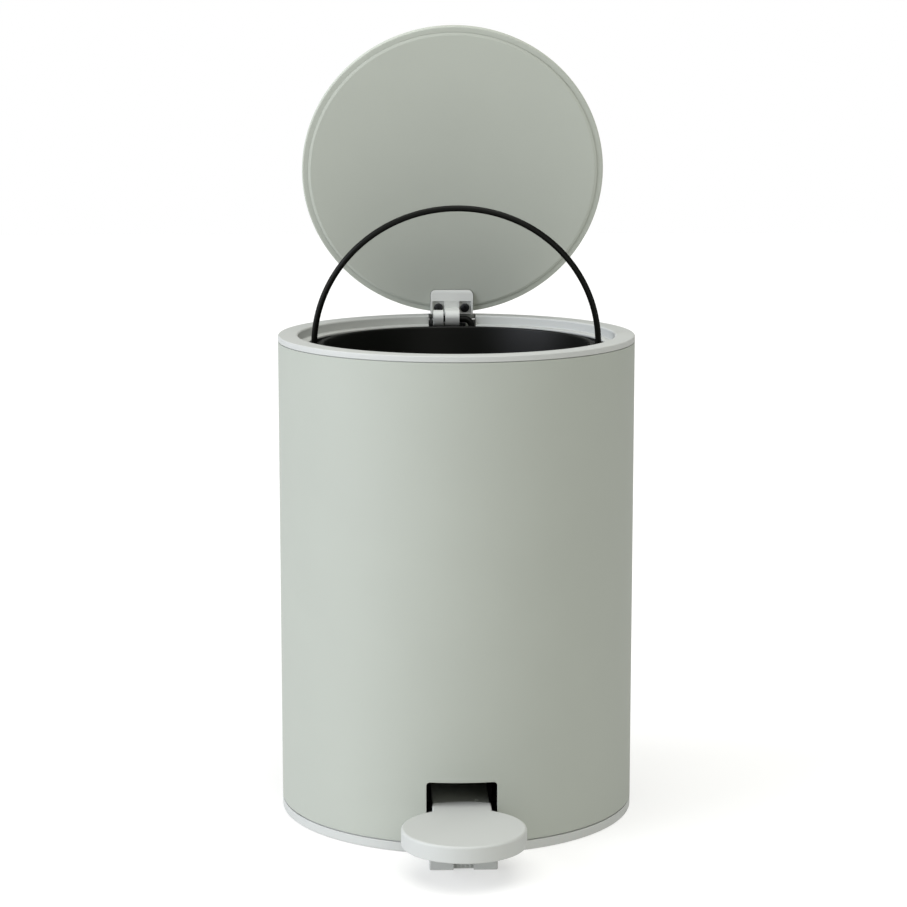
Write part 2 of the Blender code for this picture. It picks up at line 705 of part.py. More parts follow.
def make_bearings():
    foot = BASE_PLATE[1] + GAP
    flange = foot + 2.4 * MM
    near, far = BEARING
    y0, y1 = PEDAL_AXIS.y - 6 * MM, PEDAL_AXIS.y + 6 * MM
    for name, side in (("left", -1), ("right", 1)):
        span = sorted((side * near, side * far))
        base = [(y0, foot), (y1, foot)]
        block = plate(
            f"axle_bearing_{name}",
            span,
            base + circle((PEDAL_AXIS.y, PEDAL_AXIS.z), 6 * MM),
            "grey_nylon",
        )
        wide = sorted((side * (near + 1 * MM), side * 28 * MM))
        join(block, box(f"bearing_foot_{name}", (wide[0], y0, foot), (wide[1], y1, flange)))
        place = bearing_screws()[0 if side < 0 else 1]
        bore = [PEDAL_AXIS + Vector((side * x * MM, 0, 0)) for x in (5, 30)]
        fix = [place, place + Vector((0, 0, 20 * MM))]
        cut(block, rods(f"bearing_holes_{name}", [(*bore, AXLE + GAP), (*fix, PILOT)]))
    up = Vector((0, 0, 1))
    head = (flange + GAP, flange + 2.1 * MM, 3.2 * MM)
    shank = (1.8 * MM, flange + 0.8 * MM, 1.6 * MM)
    screws(pair("bearing_screw"), bearing_screws(), up, head, shank)
    head = (-23 * MM, -21.5 * MM, 4 * MM)
    shank = (-22 * MM, 23 * MM, AXLE)
    screws(["lever_axle"], [PEDAL_AXIS], Vector((1, 0, 0)), head, shank)
    washer("lever_axle_clip", PEDAL_AXIS, (21 * MM, 22 * MM), AXLE + GAP, 4.6 * MM)


def make_lever():
    bottom, top = LEVER_PLATE
    half = LEVER_HALF_WIDTH
    narrow = 8 * MM
    lever = box(
        "pedal_lever",
        (-half, LEVER_FRONT, bottom),
        (half, 60 * MM, top),
        "powder_coated_steel",
        PEDAL_PIVOT,
    )
    tail = box("lever_tail", (-narrow, 55 * MM, bottom), (narrow, LEVER_BACK, top), on=PEDAL_PIVOT)
    wide = LEVER_WIDE / 2
    low, high = (-wide, LEVER_WIDE_FRONT, bottom), (wide, LEVER_WIDE_BACK, top)
    shoulder = box("lever_shoulder", low, high, on=PEDAL_PIVOT)
    ear_half = 8 * MM
    axis = (PEDAL_AXIS.y, PEDAL_AXIS.z)
    root = [(PEDAL_AXIS.y - ear_half, bottom + 1 * MM), (PEDAL_AXIS.y + ear_half, bottom + 1 * MM)]
    ears = []
    for name, side in (("left", -1), ("right", 1)):
        span = sorted((side * half, side * (half - 2.4 * MM)))
        ears.append(plate(f"lever_ear_{name}", span, circle(axis, 7 * MM) + root, on=PEDAL_PIVOT))
    tab_low = (narrow - 2.4 * MM, ROD_Y - 6.4 * MM, bottom)
    tab_high = (narrow, ROD_Y + 6.4 * MM, ROD_BOTTOM + 5.5 * MM)
    tab = box("lever_tab", tab_low, tab_high, on=PEDAL_PIVOT)
    join(lever, tail, shoulder, *ears, tab)
    across = [Vector((x * MM, 0, 0)) for x in (-20, 20)]
    spans = [(PEDAL_AXIS + across[0], PEDAL_AXIS + across[1], 4.8 * MM)]
    rod = Vector((0, ROD_Y, ROD_BOTTOM))
    spans.append((rod, rod + across[1], ROD_WIRE + 0.9 * MM))
    up = Vector((0, 0, 40 * MM))
    spans += [(p, p + up, PILOT) for p in pedal_screws()]
    vent = Vector((9 * MM, -78 * MM, 0))
    spans.append((vent, vent + up, 0.9 * MM))
    cut(lever, rods("lever_holes", spans, on=PEDAL_PIVOT))
    bush = rods(
        "lever_bush",
        [(PEDAL_AXIS + Vector((-14 * MM, 0, 0)), PEDAL_AXIS + Vector((14 * MM, 0, 0)), 4.5 * MM)],
        "grey_nylon",
        PEDAL_PIVOT,
    )
    bore = [(PEDAL_AXIS + across[0], PEDAL_AXIS + across[1], AXLE + GAP)]
    cut(bush, rods("bush_hole", bore, on=PEDAL_PIVOT))


def pedal_screws():
    return [Vector((x * 8 * MM, -118 * MM, 0)) for x in (-1, 1)]


def make_pedal_pad():
    """The round tread with its neck through the slot and its hollow foot on the floor."""
    edge = 1.2 * MM
    rim = PEDAL_RADIUS - edge
    pad = turned(
        "pedal_pad",
        [
            (0, PEDAL_TOP),
            *arc((rim, PEDAL_TOP - edge), edge, 90, 0, 2),
            (PEDAL_RADIUS, PEDAL_BOTTOM + 0.6 * MM),
            (PEDAL_RADIUS - 0.6 * MM, PEDAL_BOTTOM),
            (0, PEDAL_BOTTOM),
        ],
        "sage_plastic",
        PEDAL_PIVOT,
        centre=(0, PEDAL_Y),
        segments=48,
    )
    width = NECK_HALF_WIDTH
    neck = box("neck", (-width, -125 * MM, NECK_BOTTOM), (width, -80 * MM, PEDAL_TOP), on=PEDAL_PIVOT)
    middle = Vector((0, PEDAL_Y, 0))
    reach = [(middle, middle + Vector((0, 0, 40 * MM)), NECK_REACH)]
    combine(neck, "INTERSECT", [rods("neck_end", reach, on=PEDAL_PIVOT, segments=ROUND)])
    low = (-FOOT_HALF_WIDTH, FOOT_FRONT, GAP)
    high = (FOOT_HALF_WIDTH, FOOT_BACK, PEDAL_BOTTOM + 1 * MM)
    foot = box("foot", low, high, on=PEDAL_PIVOT)
    join(pad, neck, foot)
    half, depth = FOOT_NOTCH
    low = (-half, FOOT_FRONT - 5 * MM, -5 * MM)
    high = (half, FOOT_FRONT + depth, PEDAL_BOTTOM)
    notch = box("foot_notch", low, high, on=PEDAL_PIVOT)
    ceiling = 15.5 * MM
    wall = FOOT_WALL
    cavity_front = FOOT_FRONT + depth + wall
    hollow = box(
        "foot_hollow",
        (-FOOT_HALF_WIDTH + wall, cavity_front, -5 * MM),
        (FOOT_HALF_WIDTH - wall, FOOT_BACK - wall, ceiling),
        on=PEDAL_PIVOT,
    )
    side = LEVER_HALF_WIDTH + GAP
    pocket = box(
        "lever_pocket",
        (-side, LEVER_FRONT - GAP, LEVER_PLATE[0] - GAP),
        (side, -70 * MM, LEVER_PLATE[1] + GAP),
        on=PEDAL_PIVOT,
    )
    up = Vector((0, 0, 1))
    spans = [(p + up * 10 * MM, p + up * 26 * MM, PILOT) for p in pedal_screws()]
    cut(pad, notch, hollow, pocket, rods("pad_pilots", spans, on=PEDAL_PIVOT, segments=12))
    head = (ceiling - GAP - 1.6 * MM, ceiling - GAP, 3.2 * MM)
    shank = (ceiling - GAP - 0.4 * MM, 25.6 * MM, 1.6 * MM)
    screws(pair("pedal_screw"), pedal_screws(), up, head, shank, on=PEDAL_PIVOT)


def shade_round_pieces():
    """Smooth shading with crisp edges on every mesh piece."""
    for obj in PARTS.objects:
        if obj.type == "MESH":
            obj.data.shade_smooth()
            obj.data.set_sharp_from_angle(angle=math.radians(35))


make_body_shell()
make_collar()
make_lid_buffers()
make_base_pan()
make_floor_pad()
make_platform()
make_bucket()
make_bail()
make_lid_skin()
make_lid_panel()
make_lid_bracket()
make_hinge()
make_push_rod()
make_bearings()
make_lever()
make_pedal_pad()
shade_round_pieces()
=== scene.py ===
"""Finished look of the round pedal bin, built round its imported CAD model.

Sizes in the shape code are millimetres; the lid's pieces are modelled closed and then swung open.
"""

import json
import math

import bmesh
import bpy
from bpy.props import FloatProperty, FloatVectorProperty, IntProperty, PointerProperty
from bpy.types import Operator, Panel, PropertyGroup
from mathutils import Matrix, Vector
from mathutils.geometry import convex_hull_2d


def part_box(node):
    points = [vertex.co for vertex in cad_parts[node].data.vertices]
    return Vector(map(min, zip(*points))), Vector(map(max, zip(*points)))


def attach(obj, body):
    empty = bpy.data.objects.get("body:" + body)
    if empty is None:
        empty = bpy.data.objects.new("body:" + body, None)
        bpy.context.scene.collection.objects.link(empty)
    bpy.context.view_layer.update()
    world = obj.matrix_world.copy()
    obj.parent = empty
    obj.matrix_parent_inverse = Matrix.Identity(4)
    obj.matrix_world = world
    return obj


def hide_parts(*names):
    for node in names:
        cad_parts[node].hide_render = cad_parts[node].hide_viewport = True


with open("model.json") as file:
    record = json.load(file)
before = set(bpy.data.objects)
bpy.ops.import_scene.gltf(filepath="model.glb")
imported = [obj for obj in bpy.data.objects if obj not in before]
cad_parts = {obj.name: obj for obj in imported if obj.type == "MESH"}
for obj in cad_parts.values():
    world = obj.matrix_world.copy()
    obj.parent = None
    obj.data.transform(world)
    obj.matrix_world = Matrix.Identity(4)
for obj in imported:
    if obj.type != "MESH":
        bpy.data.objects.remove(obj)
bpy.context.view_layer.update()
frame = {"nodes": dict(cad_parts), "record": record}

bl_info = {
    "name": "Pedal Bin",
    "version": (1, 0, 0),
    "blender": (4, 5, 0),
    "location": "3D View > Sidebar > Pedal Bin",
    "description": "Builds the finished pieces of a round pedal bin",
    "category": "Object",
}

MM = 0.001
ROUND = 160  # segments of the large turned pieces
SMALL_ROUND = 40  # segments of bosses and pins
CREASE = math.radians(35)
MOTTLE_SCALE = 22.0  # per metre: patches of about 45 mm


def linear(code):
    """An sRGB hex colour as linear red, green and blue."""
    levels = [int(code[i : i + 2], 16) / 255 for i in (0, 2, 4)]
    return [c / 12.92 if c <= 0.04045 else ((c + 0.055) / 1.055) ** 2.4 for c in levels]


def cad_box(node):
    """A CAD node's lowest and highest corner in millimetres."""
    low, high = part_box(node)
    return Vector(low) / MM, Vector(high) / MM


BODY_LOW, BODY_HIGH = cad_box("body_shell")
JOINTS = {joint["name"]: joint for joint in frame["record"]["behaviour"]["joints"]}
LID_JOINT = JOINTS["lid_hinge"]
LID_AXIS = Vector(LID_JOINT["pos_m"]) / MM
LID_TURN = math.radians(LID_JOINT["range_deg"][1])
BAIL_AXIS = Vector(JOINTS["bail_fold"]["pos_m"]) / MM
PEDAL_AXIS = Vector(JOINTS["pedal_pivot"]["pos_m"]) / MM


def length(name, description, millimetres):
    """A length property, from its default in millimetres."""
    return FloatProperty(
        name=name,
        description=description,
        default=millimetres * MM,
        min=0.0,
        precision=5,
        subtype="DISTANCE",
        unit="LENGTH",
    )


def colour(name, description, code):
    """A colour property, from its default as an sRGB hex colour."""
    return FloatVectorProperty(
        name=name, description=description, default=linear(code), min=0, max=1, subtype="COLOR"
    )


class BinSizes(PropertyGroup):
    """Sizes of the bin that a user would change."""

    body_radius: length("Body Radius", "Outer radius of the steel body", BODY_HIGH.x)
    body_wall: length("Body Wall", "Thickness of the steel body", 0.8)
    slot_width: length("Slot Width", "Width of the opening for the pedal", 39.2)
    slot_top: length("Slot Top", "Height of the pedal opening above the floor", 40.8)
    slot_corner: length("Slot Corner", "Corner radius of the pedal opening", 2.0)
    collar_round: length("Collar Rounding", "Rounding of the collar's inner edge", 1.2)
    lid_radius: length("Lid Radius", "Outer radius of the lid", 90.0)
    bail_wire: length("Bail Wire", "Radius of the bail's wire", 1.75)
    rod_wire: length("Rod Wire", "Radius of the push rod's wire", 2.0)
    pedal_radius: length("Pedal Radius", "Radius of the round pedal", 34.0)
    ribs: IntProperty(
        name="Ribs", description="Radial ribs under the platform", default=16, min=3, max=48
    )
    lid_open: FloatProperty(
        name="Lid Opening",
        description="Angle that the lid stands open at rest",
        default=LID_TURN,
        subtype="ANGLE",
        unit="ROTATION",
    )


class BinColours(PropertyGroup):
    """Colours of the bin's finishes."""

    coat: colour("Powder Coat", "Colour of the coated steel", "979B92")
    # painted light: the lid's coat is the body's coat made lighter, standing in for light on its
    # shaded faces
    lid: colour("Lid", "Colour of the lid's powder coat", "A6AAA0")
    sage: colour("Sage Plastic", "Colour of the collar, base and pedal", "A8AAA6")
    # painted light: the hinge's colour is the sage made paler, standing in for light on the
    # bracket's shaded faces
    hinge: colour("Hinge", "Colour of the lid's hinge bracket", "C4C6C1")
    black: colour("Black Plastic", "Colour of the bucket", "080906")
    wire: colour("Wire Coat", "Colour of the bail and the push rod", "0C0D0A")
    steel: colour("Black Steel", "Colour of the hinge mount", "17181A")
    zinc: colour("Zinc", "Colour of the plated screws and pins", "B9BCC0")
    nylon: colour("Nylon", "Colour of the bearings and the platform", "7C7F7C")
    rubber: colour("Rubber", "Colour of the floor pad and buffers", "1B1C1B")
    floor: colour("Floor", "Colour of the floor", "ADADAB")


# ---------------------------------------------------------------- nodes and finishes


def add_node(tree, kind, settings=None, inputs=None):
    """Adds a node. An input takes a value, or a socket or list of sockets to link to it."""
    made = tree.nodes.new(kind)
    for name, value in (settings or {}).items():
        setattr(made, name, value)
    for key, value in (inputs or {}).items():
        if isinstance(value, bpy.types.NodeSocket):
            tree.links.new(value, made.inputs[key])
        elif isinstance(value, list):
            for socket in value:
                tree.links.new(socket, made.inputs[key])
        else:
            made.inputs[key].default_value = value
    return made


def finish(
    name, shade, grain, depth, roughness, mottle, spread, specular=0.5, metallic=0.0, glow=0.0
):
    """A moulded or coated surface: grain in mm, its depth in mm, and a broad slight mottle."""
    found = bpy.data.materials.get(name)
    if found:
        return found
    material = bpy.data.materials.new(name)
    material.use_nodes = True
    tree = material.node_tree
    surface = tree.nodes["Principled BSDF"]
    place = add_node(tree, "ShaderNodeTexCoord").outputs["Object"]
    fine = add_node(
        tree,
        "ShaderNodeTexNoise",
        inputs={"Vector": place, "Scale": 1 / (grain * MM), "Detail": 3.0, "Roughness": 0.55},
    )
    broad = add_node(
        tree, "ShaderNodeTexNoise", inputs={"Vector": place, "Scale": MOTTLE_SCALE, "Detail": 2.0}
    )
    both = add_node(
        tree,
        "ShaderNodeMath",
        {"operation": "MULTIPLY_ADD"},
        {0: fine.outputs["Fac"], 1: 0.5, 2: broad.outputs["Fac"]},
    )
    level = add_node(
        tree,
        "ShaderNodeMapRange",
        inputs={"Value": both.outputs[0], "From Min": 0.4, "From Max": 1.1},
    )
    darker = [c * (1 - mottle) for c in shade]
    lighter = [min(1.0, c * (1 + mottle)) for c in shade]
    tint = add_node(
        tree,
        "ShaderNodeMix",
        {"data_type": "RGBA"},
        {"Factor": level.outputs[0], 6: (*darker, 1), 7: (*lighter, 1)},
    )
    sheen = add_node(
        tree,
        "ShaderNodeMapRange",
        inputs={
            "Value": level.outputs[0],
            "To Min": roughness - spread,
            "To Max": roughness + spread,
        },
    )
    bump = add_node(
        tree,
        "ShaderNodeBump",
        inputs={"Strength": 1.0, "Distance": depth * MM, "Height": fine.outputs["Fac"]},
    )
    tree.links.new(tint.outputs[2], surface.inputs["Base Color"])
    tree.links.new(sheen.outputs[0], surface.inputs["Roughness"])
    tree.links.new(bump.outputs[0], surface.inputs["Normal"])
    surface.inputs["Specular IOR Level"].default_value = specular
    surface.inputs["Metallic"].default_value = metallic
    surface.inputs["Emission Strength"].default_value = glow
    return material


def powder_coat(colours):
    """Polyester powder coat, baked on steel: satin, with a fine orange peel under 1 mm."""
    return finish(
        "powder_coated_steel", colours.coat, grain=0.7, depth=0.004,
        roughness=0.6, mottle=0.02, spread=0.04, specular=0.3,
    )


def shade_lightened_coat(colours):
    """The lid's and the lever's powder coat: the body's coat painted lighter, as painted light on
    their shaded faces; duller, with a shallower orange peel.
    """
    return finish(
        "powder_coat_lightened_for_shade", colours.lid, grain=0.7, depth=0.0015,
        roughness=0.7, mottle=0.02, spread=0.03, specular=0.12,
    )


def sage_plastic(colours):
    """Moulded ABS from a spark-eroded tool: matt. Its 0.1 mm grain is drawn at 0.4 mm to show."""
    return finish(
        "moulded_ABS_sage", colours.sage, grain=0.4, depth=0.006,
        roughness=0.6, mottle=0.025, spread=0.05, specular=0.35,
    )


def shade_lightened_plastic(colours):
    """Moulded acetal of the lid's hinge: painted paler than the ABS, as painted light on its shaded
    faces under the open lid; matt, with the same coarse grain.
    """
    return finish(
        "moulded_acetal_painted_pale", colours.hinge, grain=0.4, depth=0.006,
        roughness=0.6, mottle=0.025, spread=0.05, specular=0.35,
    )


def black_plastic(colours):
    """Moulded black polypropylene: deep, with a soft waxy sheen on its rims."""
    return finish(
        "moulded_polypropylene_black", colours.black, grain=0.6, depth=0.01,
        roughness=0.42, mottle=0.15, spread=0.06, specular=0.2,
    )


def wire_coat(colours):
    """Black powder coat on drawn steel wire: satin, a little smoother than the body's."""
    return finish(
        "powder_coated_wire_black", colours.wire, grain=0.5, depth=0.006,
        roughness=0.4, mottle=0.15, spread=0.05, specular=0.1,
    )


def black_steel(colours):
    """Pressed steel with a black electrocoat: satin. The sheet's fine grain is drawn at 0.5 mm."""
    return finish(
        "electrocoated_steel_black", colours.steel, grain=0.5, depth=0.006,
        roughness=0.45, mottle=0.15, spread=0.06, specular=0.35,
    )


def zinc_plate(colours):
    """Bright zinc plate on steel: metallic, clouded, with a faint drawn grain."""
    return finish(
        "zinc_plated_steel", colours.zinc, grain=0.5, depth=0.004,
        roughness=0.34, mottle=0.1, spread=0.1, metallic=1.0,
    )


def nylon(colours):
    """Moulded grey nylon: matt and slightly waxy."""
    return finish(
        "moulded_nylon_grey", colours.nylon, grain=0.5, depth=0.01,
        roughness=0.5, mottle=0.05, spread=0.06,
    )


def lit_acrylic(colours):
    """A matt acrylic table lit from below, so that it stays pale and its shadows faint."""
    return finish(
        "lit_acrylic_table", colours.floor, grain=4.0, depth=0.01,
        roughness=0.7, mottle=0.005, spread=0.02, glow=0.5,
    )


def rubber(colours):
    """Moulded EPDM rubber: dark and dull. Its dusty grain is drawn at 0.6 mm to show."""
    return finish(
        "EPDM_rubber", colours.rubber, grain=0.6, depth=0.02,
        roughness=0.8, mottle=0.2, spread=0.08, specular=0.3,
    )


# ---------------------------------------------------------------- shapes


def new_object(name, mesh):
    """An object in the scene for a mesh."""
    obj = bpy.data.objects.new(name, mesh)
    bpy.context.scene.collection.objects.link(obj)
    return obj


def from_bmesh(name, bm):
    """An object from a mesh that is built in millimetres, which is used up."""
    mesh = bpy.data.meshes.new(name)
    bmesh.ops.recalc_face_normals(bm, faces=bm.faces)
    bm.to_mesh(mesh)
    bm.free()
    mesh.transform(Matrix.Scale(MM, 4))
    return new_object(name, mesh)


def filleted(corners, steps=4):
    """Points of a profile of (radius, height, rounding) corners, with the corners rounded."""
    points = []
    for i, (r, z, size) in enumerate(corners):
        here = Vector((r, z))
        if not size:
            points.append((r, z))
            continue
        before = (Vector(corners[i - 1][:2]) - here).normalized()
        after = (Vector(corners[(i + 1) % len(corners)][:2]) - here).normalized()
        half = before.angle(after) / 2
        centre = here + (before + after).normalized() * (size / math.sin(half))
        first = here + before * (size / math.tan(half)) - centre
        last = here + after * (size / math.tan(half)) - centre
        start = math.atan2(first.y, first.x)
        swing = math.remainder(math.atan2(last.y, last.x) - start, 2 * math.pi)
        for step in range(steps + 1):
            angle = start + swing * step / steps
            points.append((centre.x + size * math.cos(angle), centre.y + size * math.sin(angle)))
    return points


def turned(name, corners, centre=(0, 0), segments=ROUND, steps=4):
    """A solid turned about a vertical axis, from corners of (radius, height, rounding)."""
    profile = filleted(corners, steps)
    bm = bmesh.new()
    rings = []
    for r, z in profile:
        turns = [2 * math.pi * i / segments for i in range(segments if r > 0 else 1)]
        places = [(centre[0] + r * math.cos(t), centre[1] + r * math.sin(t), z) for t in turns]
        rings.append([bm.verts.new(place) for place in places])
    following = rings[1:] + ([] if len(rings[0]) == 1 else rings[:1])
    for ring, other in zip(rings, following):
        for i in range(segments):
            j = i + 1
            quad = [ring[i % len(ring)], ring[j % len(ring)]]
            quad += [other[j % len(other)], other[i % len(other)]]
            bm.faces.new(list(dict.fromkeys(quad)))
    return from_bmesh(name, bm)


def block(name, low, high, rounding=0.0):
    """A box between two corners, with its edges rounded on request."""
    bm = bmesh.new()
    size = Vector(high) - Vector(low)
    place = Matrix.Translation((Vector(high) + Vector(low)) / 2) @ Matrix.Diagonal((*size, 1))
    bmesh.ops.create_cube(bm, size=1, matrix=place)
    obj = from_bmesh(name, bm)
    if rounding:
        edges = obj.modifiers.new("Edges", "BEVEL")
        edges.width = rounding * MM
        edges.segments = 4
        settle(obj)
    return obj


def rods(name, spans, segments=SMALL_ROUND):
    """Cylinders, each between two points with a radius, as one mesh."""
    bm = bmesh.new()
    for start, end, radius in spans:
        along = Vector(end) - Vector(start)
        turn = along.to_track_quat("Z", "Y").to_matrix().to_4x4()
        place = Matrix.Translation((Vector(start) + Vector(end)) / 2) @ turn
        bmesh.ops.create_cone(
            bm,
            cap_ends=True,
            segments=segments,
            radius1=radius,
            radius2=radius,
            depth=along.length,
            matrix=place,
        )
    return from_bmesh(name, bm)


def plate(name, span, outline):
    """A plate across X between span, of the hull round points in (y, z)."""
    corners = [outline[i] for i in convex_hull_2d(outline)]
    bm = bmesh.new()
    bm.faces.new([bm.verts.new((span[0], y, z)) for y, z in corners])
    bmesh.ops.dissolve_limit(bm, angle_limit=0.02, verts=bm.verts, edges=bm.edges)
    sides = bm.faces[:]
    grown = bmesh.ops.extrude_face_region(bm, geom=sides, use_keep_orig=True)["geom"]
    moved = [v for v in grown if isinstance(v, bmesh.types.BMVert)]
    bmesh.ops.translate(bm, vec=(span[1] - span[0], 0, 0), verts=moved)
    return from_bmesh(name, bm)


def circle(centre, radius):
    """Points round a circle."""
    turns = [2 * math.pi * i / SMALL_ROUND for i in range(SMALL_ROUND)]
    return [(centre[0] + radius * math.cos(t), centre[1] + radius * math.sin(t)) for t in turns]


def settle(obj):
    """Applies the modifiers, so that the object keeps a plain mesh."""
    graph = bpy.context.evaluated_depsgraph_get()
    mesh = bpy.data.meshes.new_from_object(obj.evaluated_get(graph))
    obj.modifiers.clear()
    obj.data = mesh


def combine(obj, operation, others):
    """Applies a Boolean with each of the others, which are used up."""
    for other in others:
        step = obj.modifiers.new(other.name, "BOOLEAN")
        step.operation = operation
        step.solver = "EXACT"
        step.object = other
    settle(obj)
    for other in others:
        bpy.data.objects.remove(other, do_unlink=True)


def cut(obj, *others):
    combine(obj, "DIFFERENCE", others)


def join(obj, *others):
    combine(obj, "UNION", others)


def swing_open(obj, angle):
    """Turns a piece of the lid from closed, as it is modelled, to where it stands."""
    axis = Matrix.Translation(LID_AXIS * MM)
    obj.data.transform(axis @ Matrix.Rotation(-angle, 4, "X") @ axis.inverted())


def place_piece(obj, body, material, nodes, edge=0.0):
    """Rounds the edges, evens the shading and ties the piece to the frame."""
    obj.data.shade_smooth()
    obj.data.set_sharp_from_angle(angle=CREASE)
    if edge:
        rounding = obj.modifiers.new("Edges", "BEVEL")
        rounding.width = edge * MM
        rounding.segments = 2
        rounding.limit_method = "ANGLE"
        rounding.angle_limit = CREASE
    evened = obj.modifiers.new("Normals", "WEIGHTED_NORMAL")
    evened.keep_sharp = True
    settle(obj)
    obj.data.materials.clear()
    obj.data.materials.append(material)
    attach(obj, body)
    if nodes:
        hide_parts(*nodes)


# ---------------------------------------------------------------- geometry nodes


def node_tree(name, sockets):
    """A geometry tree with named inputs, and its input and output nodes."""
    tree = bpy.data.node_groups.new(name, "GeometryNodeTree")
    tree.interface.new_socket("Geometry", in_out="INPUT", socket_type="NodeSocketGeometry")
    for label, kind in sockets:
        tree.interface.new_socket(label, in_out="INPUT", socket_type="NodeSocket" + kind)
    tree.interface.new_socket("Geometry", in_out="OUTPUT", socket_type="NodeSocketGeometry")
    return tree, add_node(tree, "NodeGroupInput").outputs


def end_tree(tree, shape, given):
    """Ends a tree in Realize Instances and Set Material."""
    real = add_node(tree, "GeometryNodeRealizeInstances", inputs={"Geometry": shape})
    last = add_node(
        tree,
        "GeometryNodeSetMaterial",
        inputs={"Geometry": real.outputs[0], "Material": given["Material"]},
    )
    add_node(tree, "NodeGroupOutput", inputs={0: last.outputs[0]})
    return tree


def wire_tree():
    """A round wire along the input's line, with its bends rounded."""
    tree, given = node_tree(
        "Wire", [("Radius", "Float"), ("Bend", "Float"), ("Sides", "Int"), ("Material", "Material")]
    )
    line = add_node(tree, "GeometryNodeMeshToCurve", inputs={0: given["Geometry"]})
    bends = add_node(
        tree,
        "GeometryNodeFilletCurve",
        inputs={"Curve": line.outputs[0], "Radius": given["Bend"], "Limit Radius": True},
    )
    bends.mode = "POLY"
    bends.inputs["Count"].default_value = 10
    section = add_node(
        tree,
        "GeometryNodeCurvePrimitiveCircle",
        inputs={"Radius": given["Radius"], "Resolution": given["Sides"]},
    )
    skin = add_node(
        tree,
        "GeometryNodeCurveToMesh",
        inputs={
            "Curve": bends.outputs[0],
            "Profile Curve": section.outputs[0],
            "Fill Caps": True,
        },
    )
    return end_tree(tree, skin.outputs[0], given)


def screw_tree():
    """A pan-head screw with a cross recess on each of the input's points, head along +Z."""
    sizes = ["Head Radius", "Head Height", "Shank Radius", "Shank Length"]
    sockets = [(name, "Float") for name in sizes] + [("Turn", "Rotation")]
    tree, given = node_tree("Screws", sockets + [("Material", "Material")])

    def scaled(socket, factor):
        made = add_node(
            tree, "ShaderNodeMath", {"operation": "MULTIPLY"}, {0: socket, 1: factor}
        )
        return made.outputs[0]

    def vector(x, y, z):
        return add_node(tree, "ShaderNodeCombineXYZ", inputs={0: x, 1: y, 2: z}).outputs[0]

    def moved(shape, height, factor):
        made = add_node(
            tree,
            "GeometryNodeTransform",
            inputs={
                "Geometry": shape,
                "Translation": vector(0.0, 0.0, scaled(height, factor)),
            },
        )
        return made.outputs[0]

    def cylinder(radius, depth, sides):
        made = add_node(
            tree,
            "GeometryNodeMeshCylinder",
            inputs={"Vertices": sides, "Radius": radius, "Depth": depth},
        )
        return made.outputs[0]

    radius, height = given["Head Radius"], given["Head Height"]
    rim = moved(cylinder(radius, scaled(height, 0.5), 32), height, 0.25)
    ball = add_node(
        tree, "GeometryNodeMeshUVSphere", inputs={"Segments": 32, "Rings": 12, "Radius": 1.0}
    )
    flat = add_node(
        tree,
        "GeometryNodeTransform",
        inputs={
            "Geometry": ball.outputs[0],
            "Scale": vector(scaled(radius, 0.98), scaled(radius, 0.98), scaled(height, 0.58)),
        },
    )
    dome = moved(flat.outputs[0], height, 0.42)
    over = moved(cylinder(scaled(radius, 1.5), height, 16), height, 0.5)
    cap = add_node(
        tree,
        "GeometryNodeMeshBoolean",
        {"operation": "INTERSECT", "solver": "EXACT"},
        {"Mesh 2": [over, dome]},
    )
    shank_length = given["Shank Length"]
    shank = moved(cylinder(given["Shank Radius"], shank_length, 20), shank_length, -0.48)
    whole = add_node(
        tree,
        "GeometryNodeMeshBoolean",
        {"operation": "UNION", "solver": "EXACT"},
        {"Mesh 2": [rim, cap.outputs[0], shank]},
    )
    arms = []
    for wide, narrow in ((1.1, 0.26), (0.26, 1.1)):
        size = vector(scaled(radius, wide), scaled(radius, narrow), scaled(height, 0.9))
        arm = add_node(tree, "GeometryNodeMeshCube", inputs={"Size": size})
        arms.append(moved(arm.outputs[0], height, 0.9))
    recessed = add_node(
        tree,
        "GeometryNodeMeshBoolean",
        {"operation": "DIFFERENCE", "solver": "EXACT"},
        {"Mesh 1": whole.outputs[0], "Mesh 2": arms},
    )
    placed = add_node(
        tree,
        "GeometryNodeInstanceOnPoints",
        inputs={
            "Points": given["Geometry"],
            "Instance": recessed.outputs[0],
            "Rotation": given["Turn"],
        },
    )
    return end_tree(tree, placed.outputs[0], given)


def rib_tree():
    """A slim rib on each of the input's points, turned to point away from the axis."""
    sockets = [("Size", "Vector"), ("Turned", "Float"), ("Material", "Material")]
    tree, given = node_tree("Ribs", sockets)
    rib = add_node(tree, "GeometryNodeMeshCube", inputs={"Size": given["Size"]})
    place = add_node(tree, "GeometryNodeInputPosition").outputs[0]
    level = add_node(
        tree,
        "ShaderNodeVectorMath",
        {"operation": "MULTIPLY"},
        {0: place, 1: (1.0, 1.0, 0.0)},
    )
    outward = add_node(
        tree,
        "FunctionNodeAlignRotationToVector",
        {"axis": "X", "pivot_axis": "Z"},
        {"Factor": given["Turned"], "Vector": level.outputs[0]},
    )
    placed = add_node(
        tree,
        "GeometryNodeInstanceOnPoints",
        inputs={
            "Points": given["Geometry"],
            "Instance": rib.outputs[0],
            "Rotation": outward.outputs[0],
        },
    )
    return end_tree(tree, placed.outputs[0], given)


